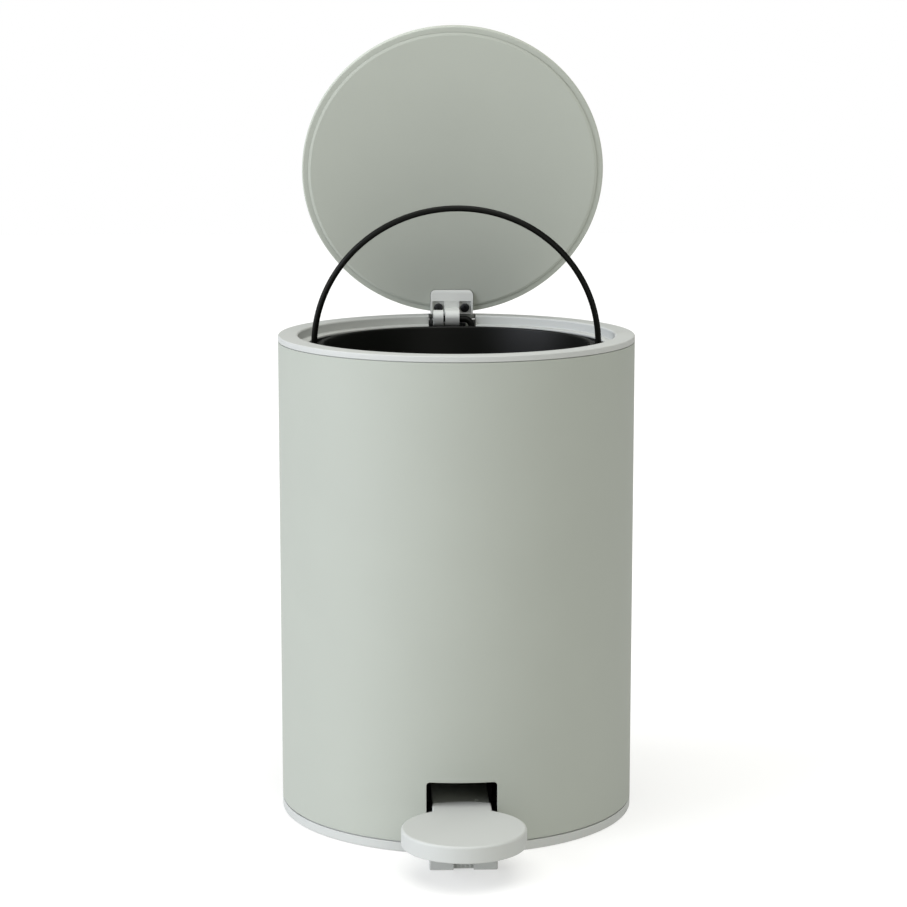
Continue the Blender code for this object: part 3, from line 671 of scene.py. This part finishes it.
def grow(name, build, points, edges, values):
    """Runs a tree on points, in mm, and leaves its result as a plain mesh."""
    tree = bpy.data.node_groups.get(build.__name__) or build()
    tree.name = build.__name__
    mesh = bpy.data.meshes.new(name)
    mesh.from_pydata([Vector(p) * MM for p in points], edges, [])
    obj = new_object(name, mesh)
    growth = obj.modifiers.new("Growth", "NODES")
    growth.node_group = tree
    named = {s.name: s.identifier for s in tree.interface.items_tree if s.in_out == "INPUT"}
    for key, value in values.items():
        growth[named[key]] = value
    settle(obj)
    if not obj.data.polygons:
        raise RuntimeError(f"{name} came out empty")
    return obj


def grow_wire(name, points, radius, bend, material):
    """A wire through points, with its radius in metres and its bends in mm."""
    edges = [(i, i + 1) for i in range(len(points) - 1)]
    values = {"Radius": radius, "Bend": bend * MM, "Sides": 20, "Material": material}
    return grow(name, wire_tree, points, edges, values)


def grow_screws(name, points, head, shank, turn, material):
    """Screws on their seats, from head and shank radius and height in mm."""
    values = {
        "Head Radius": head[0] * MM,
        "Head Height": head[1] * MM,
        "Shank Radius": shank[0] * MM,
        "Shank Length": shank[1] * MM,
        "Turn": turn,
        "Material": material,
    }
    return grow(name, screw_tree, points, [], values)


def grow_ribs(name, points, size, turned_out, material):
    """Ribs on points, from their size in mm."""
    values = {"Size": Vector(size) * MM, "Turned": float(turned_out), "Material": material}
    return grow(name, rib_tree, points, [], values)


def ring_points(count, radius, height, start=0.0):
    """Points evenly spaced round the bin's axis."""
    turns = [start + 2 * math.pi * i / count for i in range(count)]
    return [(radius * math.cos(t), radius * math.sin(t), height) for t in turns]


# ---------------------------------------------------------------- bin


SIDES = (-1, 1)
PLATFORM_SCREWS = [(x * 69.3, y * 40.0) for x in SIDES for y in SIDES]
BEARING_SCREWS = [(x * 24.5, PEDAL_AXIS.y) for x in SIDES]
PEDAL_SCREWS = [(x * 8, -118) for x in SIDES]
BRACKET_SCREWS = [(x * 8.05, 85.9) for x in SIDES]
HINGE_SCREWS = [(x * 18, 261) for x in SIDES]  # x and z; the others are x and y
SCREW_HOLE, BRACKET_HOLE, HINGE_HOLE, HINGE_BORE = 1.9, 1.6, 1.8, 1.8  # radii
NOTCH = (-14.2, 14.5)  # the hinge's gap in the collar, along X
ROD_X, ROD_Y, ROD_TOP, ROD_BOTTOM, ROD_TRAVEL = 12.0, 87.6, 276.3, 29.0, 11.8
BRACKET_HALF = 12.95
FIT = 0.3  # play between the body and the mouldings that plug into it


class BIN_OT_body(Operator):
    """Make the coated steel body with its pedal opening"""

    bl_idname = "pedal_bin.body"
    bl_label = "Body"

    def execute(self, context):
        sizes, colours = context.scene.bin_sizes, context.scene.bin_colours
        radius, wall = sizes.body_radius / MM, sizes.body_wall / MM
        low, high = BODY_LOW.z, BODY_HIGH.z
        corners = [(radius, high, 0.3), (radius, low, 0.3)]
        corners += [(radius - wall, low, 0.3), (radius - wall, high, 0.3)]
        shell = turned("body", corners, steps=2)
        half = sizes.slot_width / MM / 2
        opening = block(
            "opening",
            (-half, -radius - 20, -20),
            (half, -radius + 20, sizes.slot_top / MM),
            sizes.slot_corner / MM,
        )
        cut(shell, opening)
        place_piece(shell, "bin", powder_coat(colours), ["body_shell"], 0.2)
        return {"FINISHED"}


class BIN_OT_collar(Operator):
    """Make the moulded collar with the lid's ledge and the hinge notch"""

    bl_idname = "pedal_bin.collar"
    bl_label = "Collar"

    def execute(self, context):
        sizes, colours = context.scene.bin_sizes, context.scene.bin_colours
        top, rim, skirt = 278.1, 274.8, 254.0
        under, ledge_low, ledge_high = top - 1.9, 271.3, 272.7
        mouth, back, ledge_edge, inner = 91.0, 92.6, 85.6, 99.6
        radius = sizes.body_radius / MM
        liner = radius - sizes.body_wall / MM - FIT
        corners = [
            (radius, top, 0.7),
            (radius, rim, 0.25),
            (liner, rim, 0),
            (liner, skirt, 0.4),
            (inner, skirt, 0.4),
            (inner, under, 0.5),
            (back, under, 0.5),
            (back, ledge_low, 0.4),
            (ledge_edge, ledge_low, 0.4),
            (ledge_edge, ledge_high, 0.5),
            (mouth, ledge_high, 0.4),
            (mouth, top, sizes.collar_round / MM),
        ]
        collar = turned("collar_ring", corners)
        over = block("over", (NOTCH[0], 80, 270), (NOTCH[1], 100.9, 290))
        window = block("window", (NOTCH[0], 95, 240), (NOTCH[1], 110, 274.4))
        holes = [((x, 90, z), (x, 110, z), HINGE_HOLE) for x, z in HINGE_SCREWS]
        cut(collar, over, window, rods("holes", holes))
        place_piece(collar, "bin", sage_plastic(colours), ["collar"], 0.3)
        return {"FINISHED"}


class BIN_OT_buffers(Operator):
    """Make the domed rubber buffers that the lid closes on"""

    bl_idname = "pedal_bin.buffers"
    bl_label = "Lid Buffers"

    def execute(self, context):
        colours = context.scene.bin_colours
        for node in ("lid_buffer_left", "lid_buffer_right"):
            low, high = cad_box(node)
            middle = (low + high) / 2
            radius = (high.x - low.x) / 2
            corners = [
                (0, high.z, 0),
                (radius, high.z, 1.0),
                (radius, low.z + 0.8, 0.2),
                (radius * 0.86, low.z, 0.2),
                (0, low.z, 0),
            ]
            buffer = turned(node + "_dome", corners, middle[:2], SMALL_ROUND)
            place_piece(buffer, "bin", rubber(colours), [node])
        return {"FINISHED"}


class BIN_OT_base(Operator):
    """Make the base with its foot ring, posts and ribs"""

    bl_idname = "pedal_bin.base"
    bl_label = "Base"

    def execute(self, context):
        sizes, colours = context.scene.bin_sizes, context.scene.bin_colours
        radius = sizes.body_radius / MM
        liner = radius - sizes.body_wall / MM - FIT
        low, high, ring_top, wall_top = 1.5, 3.5, 5.3, 16.0
        inner, foot = 99.6, 96.0
        corners = [
            (0, high, 0),
            (inner, high, 0.4),
            (inner, wall_top, 0.5),
            (liner, wall_top, 0.5),
            (liner, ring_top, 0.2),
            (radius, ring_top, 0.5),
            (radius, 0, 0.8),
            (foot, 0, 0.5),
            (foot, low, 0.3),
            (0, low, 0),
        ]
        base = turned("base", corners)
        posts = [((x, y, 2.5), (x, y, 42.7), 6.0) for x, y in PLATFORM_SCREWS]
        holes = [((x, y, 29), (x, y, 50), SCREW_HOLE) for x, y in PLATFORM_SCREWS]
        holes += [((x, y, 0), (x, y, 8), SCREW_HOLE) for x, y in BEARING_SCREWS]
        join(base, rods("posts", posts))
        cut(base, rods("holes", holes))
        plastic = sage_plastic(colours)
        place_piece(base, "bin", plastic, ["base_pan"], 0.25)
        count = sizes.ribs * 2
        ribs = grow_ribs("base_ribs", ring_points(count, 88, 5.5), (22, 1.4, 4.4), True, plastic)
        place_piece(ribs, "bin", plastic, [])
        return {"FINISHED"}


class BIN_OT_floor_pad(Operator):
    """Make the grooved anti-slip pad under the base"""

    bl_idname = "pedal_bin.floor_pad"
    bl_label = "Floor Pad"

    def execute(self, context):
        colours = context.scene.bin_colours
        low, high = cad_box("floor_pad")
        corners = [(0, high.z, 0), (high.x, high.z, 0.2), (high.x, low.z, 0.3)]
        pitch, depth = 6, 0.5
        for outer in range(85, 25, -pitch):
            corners += [
                (outer, low.z, 0.1),
                (outer - 0.4, low.z + depth, 0),
                (outer - 1.6, low.z + depth, 0),
                (outer - 2.0, low.z, 0.1),
            ]
        corners.append((0, low.z, 0))
        pad = turned("anti_slip_pad", corners, steps=2)
        place_piece(pad, "bin", rubber(colours), ["floor_pad"])
        return {"FINISHED"}


class BIN_OT_platform(Operator):
    """Make the ribbed platform that carries the bucket"""

    bl_idname = "pedal_bin.platform"
    bl_label = "Platform"

    def execute(self, context):
        sizes, colours = context.scene.bin_sizes, context.scene.bin_colours
        low, high, edge = 43.0, 45.2, 98.0
        ring_in, ring_out, ring_top = 67.5, 69.5, high + 3
        corners = [
            (0, high, 0),
            (ring_in, high, 0),
            (ring_in, ring_top, 0.5),
            (ring_out, ring_top, 0.5),
            (ring_out, high, 0.4),
            (edge, high, 0.5),
            (edge, low, 0.5),
            (0, low, 0),
        ]
        deck = turned("platform_deck", corners)
        sinks = [((x, y, high - 1.5), (x, y, high + 5), 3.8) for x, y in PLATFORM_SCREWS]
        holes = [((x, y, low - 5), (x, y, high), SCREW_HOLE) for x, y in PLATFORM_SCREWS]
        room = 4.1  # round the push rod
        gap = block("gap", (ROD_X - room, ROD_Y - room, low - 5), (ROD_X + room, 103, high + 5))
        cut(deck, rods("sinks", sinks), rods("deck_holes", holes), gap)
        plastic = nylon(colours)
        place_piece(deck, "bin", plastic, ["platform"], 0.25)
        start = math.pi / sizes.ribs
        points = ring_points(sizes.ribs, 52, low - 1.5, start)
        ribs = grow_ribs("platform_ribs", points, (26, 1.6, 3.2), True, plastic)
        place_piece(ribs, "bin", plastic, [])
        return {"FINISHED"}


class BIN_OT_bucket(Operator):
    """Make the lift-out bucket with its rim and bail lugs"""

    bl_idname = "pedal_bin.bucket"
    bl_label = "Bucket"

    def execute(self, context):
        colours = context.scene.bin_colours
        low, lip, mouth, outer = 45.5, 272.9, 76.9, 79.4
        corners = [
            (0, low + 2.8, 0),
            (38.0, low + 2.8, 0.4),
            (38.6, low + 1.8, 0.3),
            (64.4, low + 1.8, 3.0),
            (mouth, lip, 0.9),
            (outer, lip, 0.7),
            (outer, 262.0, 0.4),
            (outer - 1.5, 262.0, 0.3),
            (66.0, low, 2.2),
            (58.0, low, 0.3),
            (57.4, low + 0.8, 0.3),
            (0, low + 0.8, 0),
        ]
        bucket = turned("bucket_shell", corners, steps=5)
        shelf = BAIL_AXIS.z - 4.2
        lug_low, lug_half, lug_out, slot_out = 258, 5, 85.1, 83.9
        for side in SIDES:
            span = sorted((side * (outer - 1), side * lug_out))
            slot = sorted((side * (outer + 0.3), side * slot_out))
            lug = block("lug", (span[0], -lug_half, lug_low), (span[1], lug_half, lip - 0.2), 0.6)
            join(bucket, lug)
            cut(bucket, block("lug_slot", (slot[0], -10, shelf), (slot[1], 10, 281)))
        holes = [
            (BAIL_AXIS + Vector((side * 70, 0, 0)), BAIL_AXIS + Vector((side * 80.4, 0, 0)), 2.05)
            for side in SIDES
        ]
        cut(bucket, rods("bail_holes", holes))
        plastic = black_plastic(colours)
        place_piece(bucket, "bin", plastic, ["bucket"], 0.2)
        return {"FINISHED"}


class BIN_OT_bail(Operator):
    """Make the wire bail that stands up from the bucket"""

    bl_idname = "pedal_bin.bail"
    bl_label = "Bail"

    def execute(self, context):
        sizes, colours = context.scene.bin_sizes, context.scene.bin_colours
        radius, tip, foot = 81.8, 75.9, 4.0
        lean, steps = math.radians(10.9), 72
        points = [(tip, 0, 0), (radius, 0, 0)]
        first = math.asin(foot / radius)
        for step in range(steps + 1):
            turn = first + (math.pi - 2 * first) * step / steps
            points.append((radius * math.cos(turn), 0, radius * math.sin(turn)))
        points += [(-radius, 0, 0), (-tip, 0, 0)]
        place = Matrix.Translation(BAIL_AXIS) @ Matrix.Rotation(lean, 4, "X")
        points = [place @ Vector(p) for p in points]
        wire = wire_coat(colours)
        bail = grow_wire("bail_hoop", points, sizes.bail_wire, 2.4, wire)
        place_piece(bail, "bail", wire, ["bail"])
        return {"FINISHED"}


# ---------------------------------------------------------------- lid


def rod_in_lid(share):
    """Where the rod's end is in the closed lid, at a share of the way from open."""
    turn = LID_TURN * (1 - share)
    y = ROD_Y - LID_AXIS.y
    z = ROD_TOP - ROD_TRAVEL * share - LID_AXIS.z
    return (
        LID_AXIS.y + y * math.cos(turn) - z * math.sin(turn),
        LID_AXIS.z + y * math.sin(turn) + z * math.cos(turn),
    )


def rod_sweep(radius):
    """Circles round the places that the rod's end takes in the lid."""
    return [p for i in range(9) for p in circle(rod_in_lid(i / 8), radius)]


class BIN_OT_lid(Operator):
    """Make the pressed lid with its turned-in hem and inner panel"""

    bl_idname = "pedal_bin.lid"
    bl_label = "Lid"

    def execute(self, context):
        sizes, colours = context.scene.bin_sizes, context.scene.bin_colours
        # the lid's coat is painted lighter than the body's, as painted light on its shaded faces
        coat = shade_lightened_coat(colours)
        radius, top, hem, sheet = sizes.lid_radius / MM, 279.8, 275.8, 0.8
        hem_edge = 80.0
        corners = [
            (0, top, 0),
            (radius, top, 1.6),
            (radius, hem, 1.0),
            (hem_edge, hem, 0.2),
            (hem_edge, hem + sheet, 0.2),
            (radius - sheet, hem + sheet, 0.5),
            (radius - sheet, top - sheet, 0.8),
            (0, top - sheet, 0),
        ]
        skin = turned("lid_pressing", corners)
        holes = [((x, y, 270), (x, y, 278), BRACKET_HOLE) for x, y in BRACKET_SCREWS]
        cut(skin, rods("holes", holes))
        swing_open(skin, sizes.lid_open)
        place_piece(skin, "lid", coat, ["lid_skin"])

        low, edge, low_edge = 274.8, 87.3, 84.8
        ridge_in, ridge_out, ridge_top = 77.6, 79.2, top - sheet - 0.6
        corners = [
            (0, low + 1.5, 0),
            (ridge_in, low + 1.5, 0),
            (ridge_in, ridge_top, 0.3),
            (ridge_out, ridge_top, 0.3),
            (ridge_out, hem - 0.3, 0),
            (edge, hem - 0.3, 0.15),
            (low_edge, low, 1.6),
            (0, low, 0),
        ]
        panel = turned("lid_inner_panel", corners)
        cut(panel, block("gap", (-13.25, 74.5, 270), (13.25, 100, 285), 3.2))
        swing_open(panel, sizes.lid_open)
        place_piece(panel, "lid", coat, ["lid_panel"], 0.15)
        return {"FINISHED"}


class BIN_OT_lid_bracket(Operator):
    """Make the moulded hinge bracket with its screw pockets, web and cheek"""

    bl_idname = "pedal_bin.lid_bracket"
    bl_label = "Lid Bracket"

    def execute(self, context):
        sizes, colours = context.scene.bin_sizes, context.scene.bin_colours
        axis = (LID_AXIS.y, LID_AXIS.z)
        top, bottom, back, front = 275.5, 272.8, 89.8, 74.8
        slope, floor = 81.3, 274.2
        outline = [(back, top), (back, bottom), (slope, bottom)]
        outline += [(front + 1.5, 274.0), (front, 274.8), (front, top)]
        bracket = plate("hinge_bracket", (-BRACKET_HALF, BRACKET_HALF), outline)
        corners = block("corners", (-BRACKET_HALF, front, 260), (BRACKET_HALF, back + 20, 290), 3.0)
        combine(bracket, "INTERSECT", [corners])
        for side in SIDES:
            span = sorted((side * 4.6, side * 11.75))
            pocket = block("pocket", (span[0], slope, 260), (span[1], 95, floor), 0.5)
            cut(bracket, pocket)
        web_span, cheek_span, link_span = (-4.2, 4.4), (-11.4, -5.4), (-11.2, -5.6)
        sleeve = [((-5.8, *axis), (-4.0, *axis), 3.3)]
        arm = circle(axis, 3.6) + rod_sweep(3.6)
        root = [(back - 3.4, top - 0.2), (back - 3.4, bottom + 0.2), (back - 0.2, top - 0.2)]
        link = circle(axis, 3.2) + [(back - 0.6, top - 0.2), (back - 0.6, floor + 0.2)]
        join(bracket, plate("web", web_span, arm + root))
        join(bracket, plate("cheek", cheek_span, arm))
        join(bracket, plate("link", link_span, link))
        join(bracket, rods("sleeve", sleeve))
        cut(bracket, plate("rod_slot", (-20, 20), rod_sweep(sizes.rod_wire / MM + 0.5)))
        holes = [((-20, *axis), (20, *axis), HINGE_BORE)]
        holes += [((x, y, 270), (x, y, 280), BRACKET_HOLE) for x, y in BRACKET_SCREWS]
        cut(bracket, rods("holes", holes))
        swing_open(bracket, sizes.lid_open)
        # the bracket's paler plastic is painted light on its shaded faces
        plastic = shade_lightened_plastic(colours)
        place_piece(bracket, "lid", plastic, ["lid_bracket"], 0.3)
        return {"FINISHED"}


# ---------------------------------------------------------------- hinge and rod


class BIN_OT_hinge_mount(Operator):
    """Make the folded steel mount whose ears carry the hinge pin"""

    bl_idname = "pedal_bin.hinge_mount"
    bl_label = "Hinge Mount"

    def execute(self, context):
        colours = context.scene.bin_colours
        axis = (LID_AXIS.y, LID_AXIS.z)
        back, front, low, high = 96.5, 94.9, 256.0, 264.5
        half, left_ear, right_ear = 22, (-13.5, -11.9), (4.8, 6.4)
        mount = block("hinge_bracket_mount", (-half, front, low), (half, back, high))
        corners = block("corners", (-half, front - 20, low), (half, back + 20, high), 1.5)
        combine(mount, "INTERSECT", [corners])
        root = [(92, high - 1), (back, high - 1), (back, low + 2), (front, low + 2)]
        ears = [plate("ear", span, circle(axis, 4) + root) for span in (left_ear, right_ear)]
        join(mount, *ears)
        holes = [((-20, *axis), (20, *axis), HINGE_BORE)]
        holes += [((x, 85, z), (x, 105, z), HINGE_HOLE) for x, z in HINGE_SCREWS]
        cut(mount, rods("holes", holes))
        place_piece(mount, "bin", black_steel(colours), ["hinge_mount"], 0.25)
        return {"FINISHED"}


class BIN_OT_push_rod(Operator):
    """Make the bent wire that lifts the lid"""

    bl_idname = "pedal_bin.push_rod"
    bl_label = "Push Rod"

    def execute(self, context):
        sizes, colours = context.scene.bin_sizes, context.scene.bin_colours
        wire = wire_coat(colours)
        path = [(-10.2, ROD_TOP), (ROD_X, ROD_TOP), (ROD_X, ROD_BOTTOM), (2.6, ROD_BOTTOM)]
        points = [(x, ROD_Y, z) for x, z in path]
        rod = grow_wire("push_rod_wire", points, sizes.rod_wire, 4.8, wire)
        place_piece(rod, "rod", wire, ["push_rod"], 0.3)
        return {"FINISHED"}


# ---------------------------------------------------------------- pedal


class BIN_OT_pedal(Operator):
    """Make the round pedal with its neck and hollow foot"""

    bl_idname = "pedal_bin.pedal"
    bl_label = "Pedal"

    def execute(self, context):
        sizes, colours = context.scene.bin_sizes, context.scene.bin_colours
        middle, top, bottom = (0, -138.0), 27.0, 17.5
        radius = sizes.pedal_radius / MM
        corners = [
            (0, top, 0),
            (radius, top, 1.4),
            (radius, bottom, 0.8),
            (0, bottom, 0),
        ]
        pad = turned("pedal_tread", corners, middle, 128, 6)
        neck = block("neck", (-16.3, -125, 18.5), (16.3, -80, top), 0.7)
        reach = [((*middle, 0), (*middle, 40), 46.0)]
        combine(neck, "INTERSECT", [rods("reach", reach, ROUND)])
        foot_low, foot_high = (-18.6, -130.5, 0.3), (18.6, -108.5, bottom + 1)
        foot = block("foot", foot_low, foot_high, 0.8)
        join(pad, neck, foot)
        notch = block("notch", (-5.5, -135.5, -5), (5.5, -127.5, bottom), 0.4)
        hollow = block("hollow", (-16.6, -125.5, -5), (16.6, -110.5, 15.5), 0.6)
        pocket = block("pocket", (-13.3, -150.3, 20.9), (13.3, -70, 23.9))
        holes = [((x, y, 10), (x, y, 26), SCREW_HOLE) for x, y in PEDAL_SCREWS]
        cut(pad, notch, hollow, pocket, rods("pilots", holes))
        plastic = sage_plastic(colours)
        place_piece(pad, "pedal", plastic, ["pedal_pad"], 0.3)

        front = [(x, -127.9, 9.0) for x in (-3.6, -1.2, 1.2, 3.6)]
        ribs = grow_ribs("foot_front_ribs", front, (0.8, 1.2, 16.8), False, plastic)
        place_piece(ribs, "pedal", plastic, [], 0.15)
        inside = [(x, -118.0, 9.4) for x in (-13.2, 0, 13.2)]
        inside_ribs = grow_ribs("foot_inner_ribs", inside, (1.2, 15.4, 12.6), False, plastic)
        place_piece(inside_ribs, "pedal", plastic, [])
        return {"FINISHED"}


class BIN_OT_lever(Operator):
    """Make the steel lever between the pedal and the push rod"""

    bl_idname = "pedal_bin.lever"
    bl_label = "Lever"

    def execute(self, context):
        colours = context.scene.bin_colours
        low, high, half, narrow, wide = 21.2, 23.6, 13.0, 8.0, 15.9
        front, step, tip = -150, 60, 94
        lever = block("lever_strip", (-half, front, low), (half, step, high))
        tail = block("tail", (-narrow, step - 5, low), (narrow, tip, high))
        shoulder = block("shoulder", (-wide, -91.6, low), (wide, -32, high))
        axis = (PEDAL_AXIS.y, PEDAL_AXIS.z)
        root = [(axis[0] - 8, low + 1), (axis[0] + 8, low + 1)]
        spans = [(-half, -half + 2.4), (half - 2.4, half)]
        ears = [plate("lever_ear", span, circle(axis, 7) + root) for span in spans]
        tab = block("tab", (narrow - 2.4, ROD_Y - 6.4, low), (narrow, ROD_Y + 6.4, 34.5))
        join(lever, tail, shoulder, *ears, tab)
        holes = [((-20, *axis), (20, *axis), 4.8)]
        holes.append(((0, ROD_Y, ROD_BOTTOM), (20, ROD_Y, ROD_BOTTOM), 2.9))
        holes += [((x, y, 0), (x, y, 40), SCREW_HOLE) for x, y in PEDAL_SCREWS]
        holes.append(((9, -78, 0), (9, -78, 40), 0.9))
        cut(lever, rods("holes", holes))
        # painted light: the lever takes the lid's lighter coat, standing in for light in the shade
        # under the body
        place_piece(lever, "pedal", shade_lightened_coat(colours), ["pedal_lever"], 0.3)
        return {"FINISHED"}


class BIN_OT_screws(Operator):
    """Make the cross-recessed screws of every body"""

    bl_idname = "pedal_bin.screws"
    bl_label = "Screws"

    def execute(self, context):
        sizes, colours = context.scene.bin_sizes, context.scene.bin_colours
        made = {"zinc": zinc_plate(colours), "black_steel": black_steel(colours)}
        up, down, inward = (0.0, 0.0, 0.0), (math.pi, 0.0, 0.0), (math.pi / 2, 0.0, 0.0)
        sides = ("left", "right")
        deck = [(x, y, 44.0) for x, y in PLATFORM_SCREWS]
        feet = [(x, y, 6.5) for x, y in BEARING_SCREWS]
        back = [(x, 94.6, z) for x, z in HINGE_SCREWS]
        foot = [(x, y, 15.2) for x, y in PEDAL_SCREWS]
        lid = [(x, y, 273.9) for x, y in BRACKET_SCREWS]
        rows = (
            ("platform", "bin", "zinc", (1, 2, 3, 4), deck, (3.4, 1.2), (1.6, 13.8), up),
            ("bearing", "bin", "zinc", sides, feet, (3.2, 1.8), (1.6, 4.7), up),
            ("hinge", "bin", "zinc", sides, back, (3.0, 1.4), (1.5, 4.6), inward),
            ("pedal", "pedal", "zinc", sides, foot, (3.2, 1.6), (1.6, 10.4), down),
            ("bracket", "lid", "black_steel", sides, lid, (2.75, 1.3), (1.3, 3.5), down),
        )
        for name, body, slot, ends, seats, head, shank, turn in rows:
            screws = grow_screws(name + "_screws", seats, head, shank, turn, made[slot])
            if body == "lid":
                swing_open(screws, sizes.lid_open)
            place_piece(screws, body, made[slot], [f"{name}_screw_{end}" for end in ends])
        return {"FINISHED"}


class BIN_OT_small_parts(Operator):
    """Give the small inner CAD parts their finishes"""

    bl_idname = "pedal_bin.small_parts"
    bl_label = "Small Parts"

    def execute(self, context):
        colours = context.scene.bin_colours
        finishes = {
            nylon: ("axle_bearing_left", "axle_bearing_right", "rod_guide", "lever_bush"),
            zinc_plate: ("lever_axle", "lever_axle_clip"),
            black_steel: ("hinge_pin", "hinge_pin_clip", "push_rod_clip"),
        }
        for make, nodes in finishes.items():
            for node in nodes:
                for held in frame["nodes"][node].material_slots:
                    held.link = "OBJECT"
                    held.material = make(colours)
        return {"FINISHED"}


# ---------------------------------------------------------------- stage


ROOM_COLOUR, ROOM_STRENGTH = (1.0, 0.99, 0.95, 1), 0.16
LIGHTS = (  # name, direction of the light, degrees across, strength, colour
    ("key", (-0.92, -0.33, 0.208), 50, 4.05, (0.87, 0.9, 1.0)),
    ("overhead", (0.0, -0.1, 1.0), 70, 3.1, (1.0, 1.0, 0.98)),
    ("front", (0.3, -0.81, 0.5), 40, 0.95, (1.0, 1.0, 0.98)),
)
FLOOR_SIZE, FLOOR_DROP = 4000, 0.0002  # mm; metres below the pad, so that they don't coincide
SENSOR_WIDTH, LENS = 36.0, 102.8
CAMERA_PLACE = (-0.04519, -1.48028, 0.4588)
CAMERA_PITCH, CAMERA_PAN = 90 - 9.613, -1.684  # degrees


class BIN_OT_stage(Operator):
    """Make the floor, the lights and the camera"""

    bl_idname = "pedal_bin.stage"
    bl_label = "Stage"

    def execute(self, context):
        scene, colours = context.scene, context.scene.bin_colours
        bm = bmesh.new()
        bmesh.ops.create_grid(bm, x_segments=4, y_segments=4, size=FLOOR_SIZE)
        floor = from_bmesh("floor", bm)
        floor.data.transform(Matrix.Translation((0, 0, -FLOOR_DROP)))
        floor.data.materials.append(lit_acrylic(colours))

        world = bpy.data.worlds.new("soft_room")
        world.use_nodes = True
        tree = world.node_tree
        room = tree.nodes["Background"]
        room.inputs["Color"].default_value = ROOM_COLOUR
        room.inputs["Strength"].default_value = ROOM_STRENGTH
        white = add_node(tree, "ShaderNodeBackground", inputs={"Color": (1, 1, 1, 1)})
        seen = add_node(tree, "ShaderNodeLightPath").outputs["Is Camera Ray"]
        both = add_node(
            tree, "ShaderNodeMixShader", inputs={0: seen, 1: room.outputs[0], 2: white.outputs[0]}
        )
        tree.links.new(both.outputs[0], tree.nodes["World Output"].inputs["Surface"])
        scene.world = world
        scene.view_settings.view_transform = "Standard"

        for name, direction, spread, strength, tint in LIGHTS:
            lamp = bpy.data.lights.new(name, "SUN")
            lamp.angle = math.radians(spread)
            lamp.energy = strength
            lamp.color = tint
            obj = bpy.data.objects.new(name, lamp)
            obj.location = direction
            obj.rotation_euler = Vector(direction).to_track_quat("Z", "Y").to_euler()
            scene.collection.objects.link(obj)

        lens = bpy.data.cameras.new("camera")
        lens.sensor_width = SENSOR_WIDTH
        lens.lens = LENS
        lens.dof.use_dof = False
        lens.clip_end = 50.0
        camera = bpy.data.objects.new("camera", lens)
        camera.location = CAMERA_PLACE
        camera.rotation_euler = (math.radians(CAMERA_PITCH), 0, math.radians(CAMERA_PAN))
        scene.collection.objects.link(camera)
        scene.camera = camera
        return {"FINISHED"}


class BIN_PT_pieces(Panel):
    """Lists the pieces of the bin and its stage"""

    bl_idname = "BIN_PT_pieces"
    bl_label = "Pedal Bin"
    bl_space_type = "VIEW_3D"
    bl_region_type = "UI"
    bl_category = "Pedal Bin"

    def draw(self, context):
        layout = self.layout
        for group in (context.scene.bin_sizes, context.scene.bin_colours):
            column = layout.column(align=True)
            for name in group.__annotations__:
                column.prop(group, name)
        column = layout.column(align=True)
        for operator in OPERATORS:
            column.operator(operator.bl_idname)


OPERATORS = (
    BIN_OT_body,
    BIN_OT_collar,
    BIN_OT_buffers,
    BIN_OT_base,
    BIN_OT_floor_pad,
    BIN_OT_platform,
    BIN_OT_bucket,
    BIN_OT_bail,
    BIN_OT_lid,
    BIN_OT_lid_bracket,
    BIN_OT_hinge_mount,
    BIN_OT_push_rod,
    BIN_OT_pedal,
    BIN_OT_lever,
    BIN_OT_screws,
    BIN_OT_small_parts,
    BIN_OT_stage,
)
CLASSES = (BinSizes, BinColours, *OPERATORS, BIN_PT_pieces)


def register():
    for cls in CLASSES:
        bpy.utils.register_class(cls)
    bpy.types.Scene.bin_sizes = PointerProperty(type=BinSizes)
    bpy.types.Scene.bin_colours = PointerProperty(type=BinColours)


def unregister():
    del bpy.types.Scene.bin_colours
    del bpy.types.Scene.bin_sizes
    for cls in reversed(CLASSES):
        bpy.utils.unregister_class(cls)


def main():
    """Builds every piece."""
    register()
    for operator in OPERATORS:
        group, name = operator.bl_idname.split(".")
        getattr(getattr(bpy.ops, group), name)()


if __name__ == "__main__":
    main()
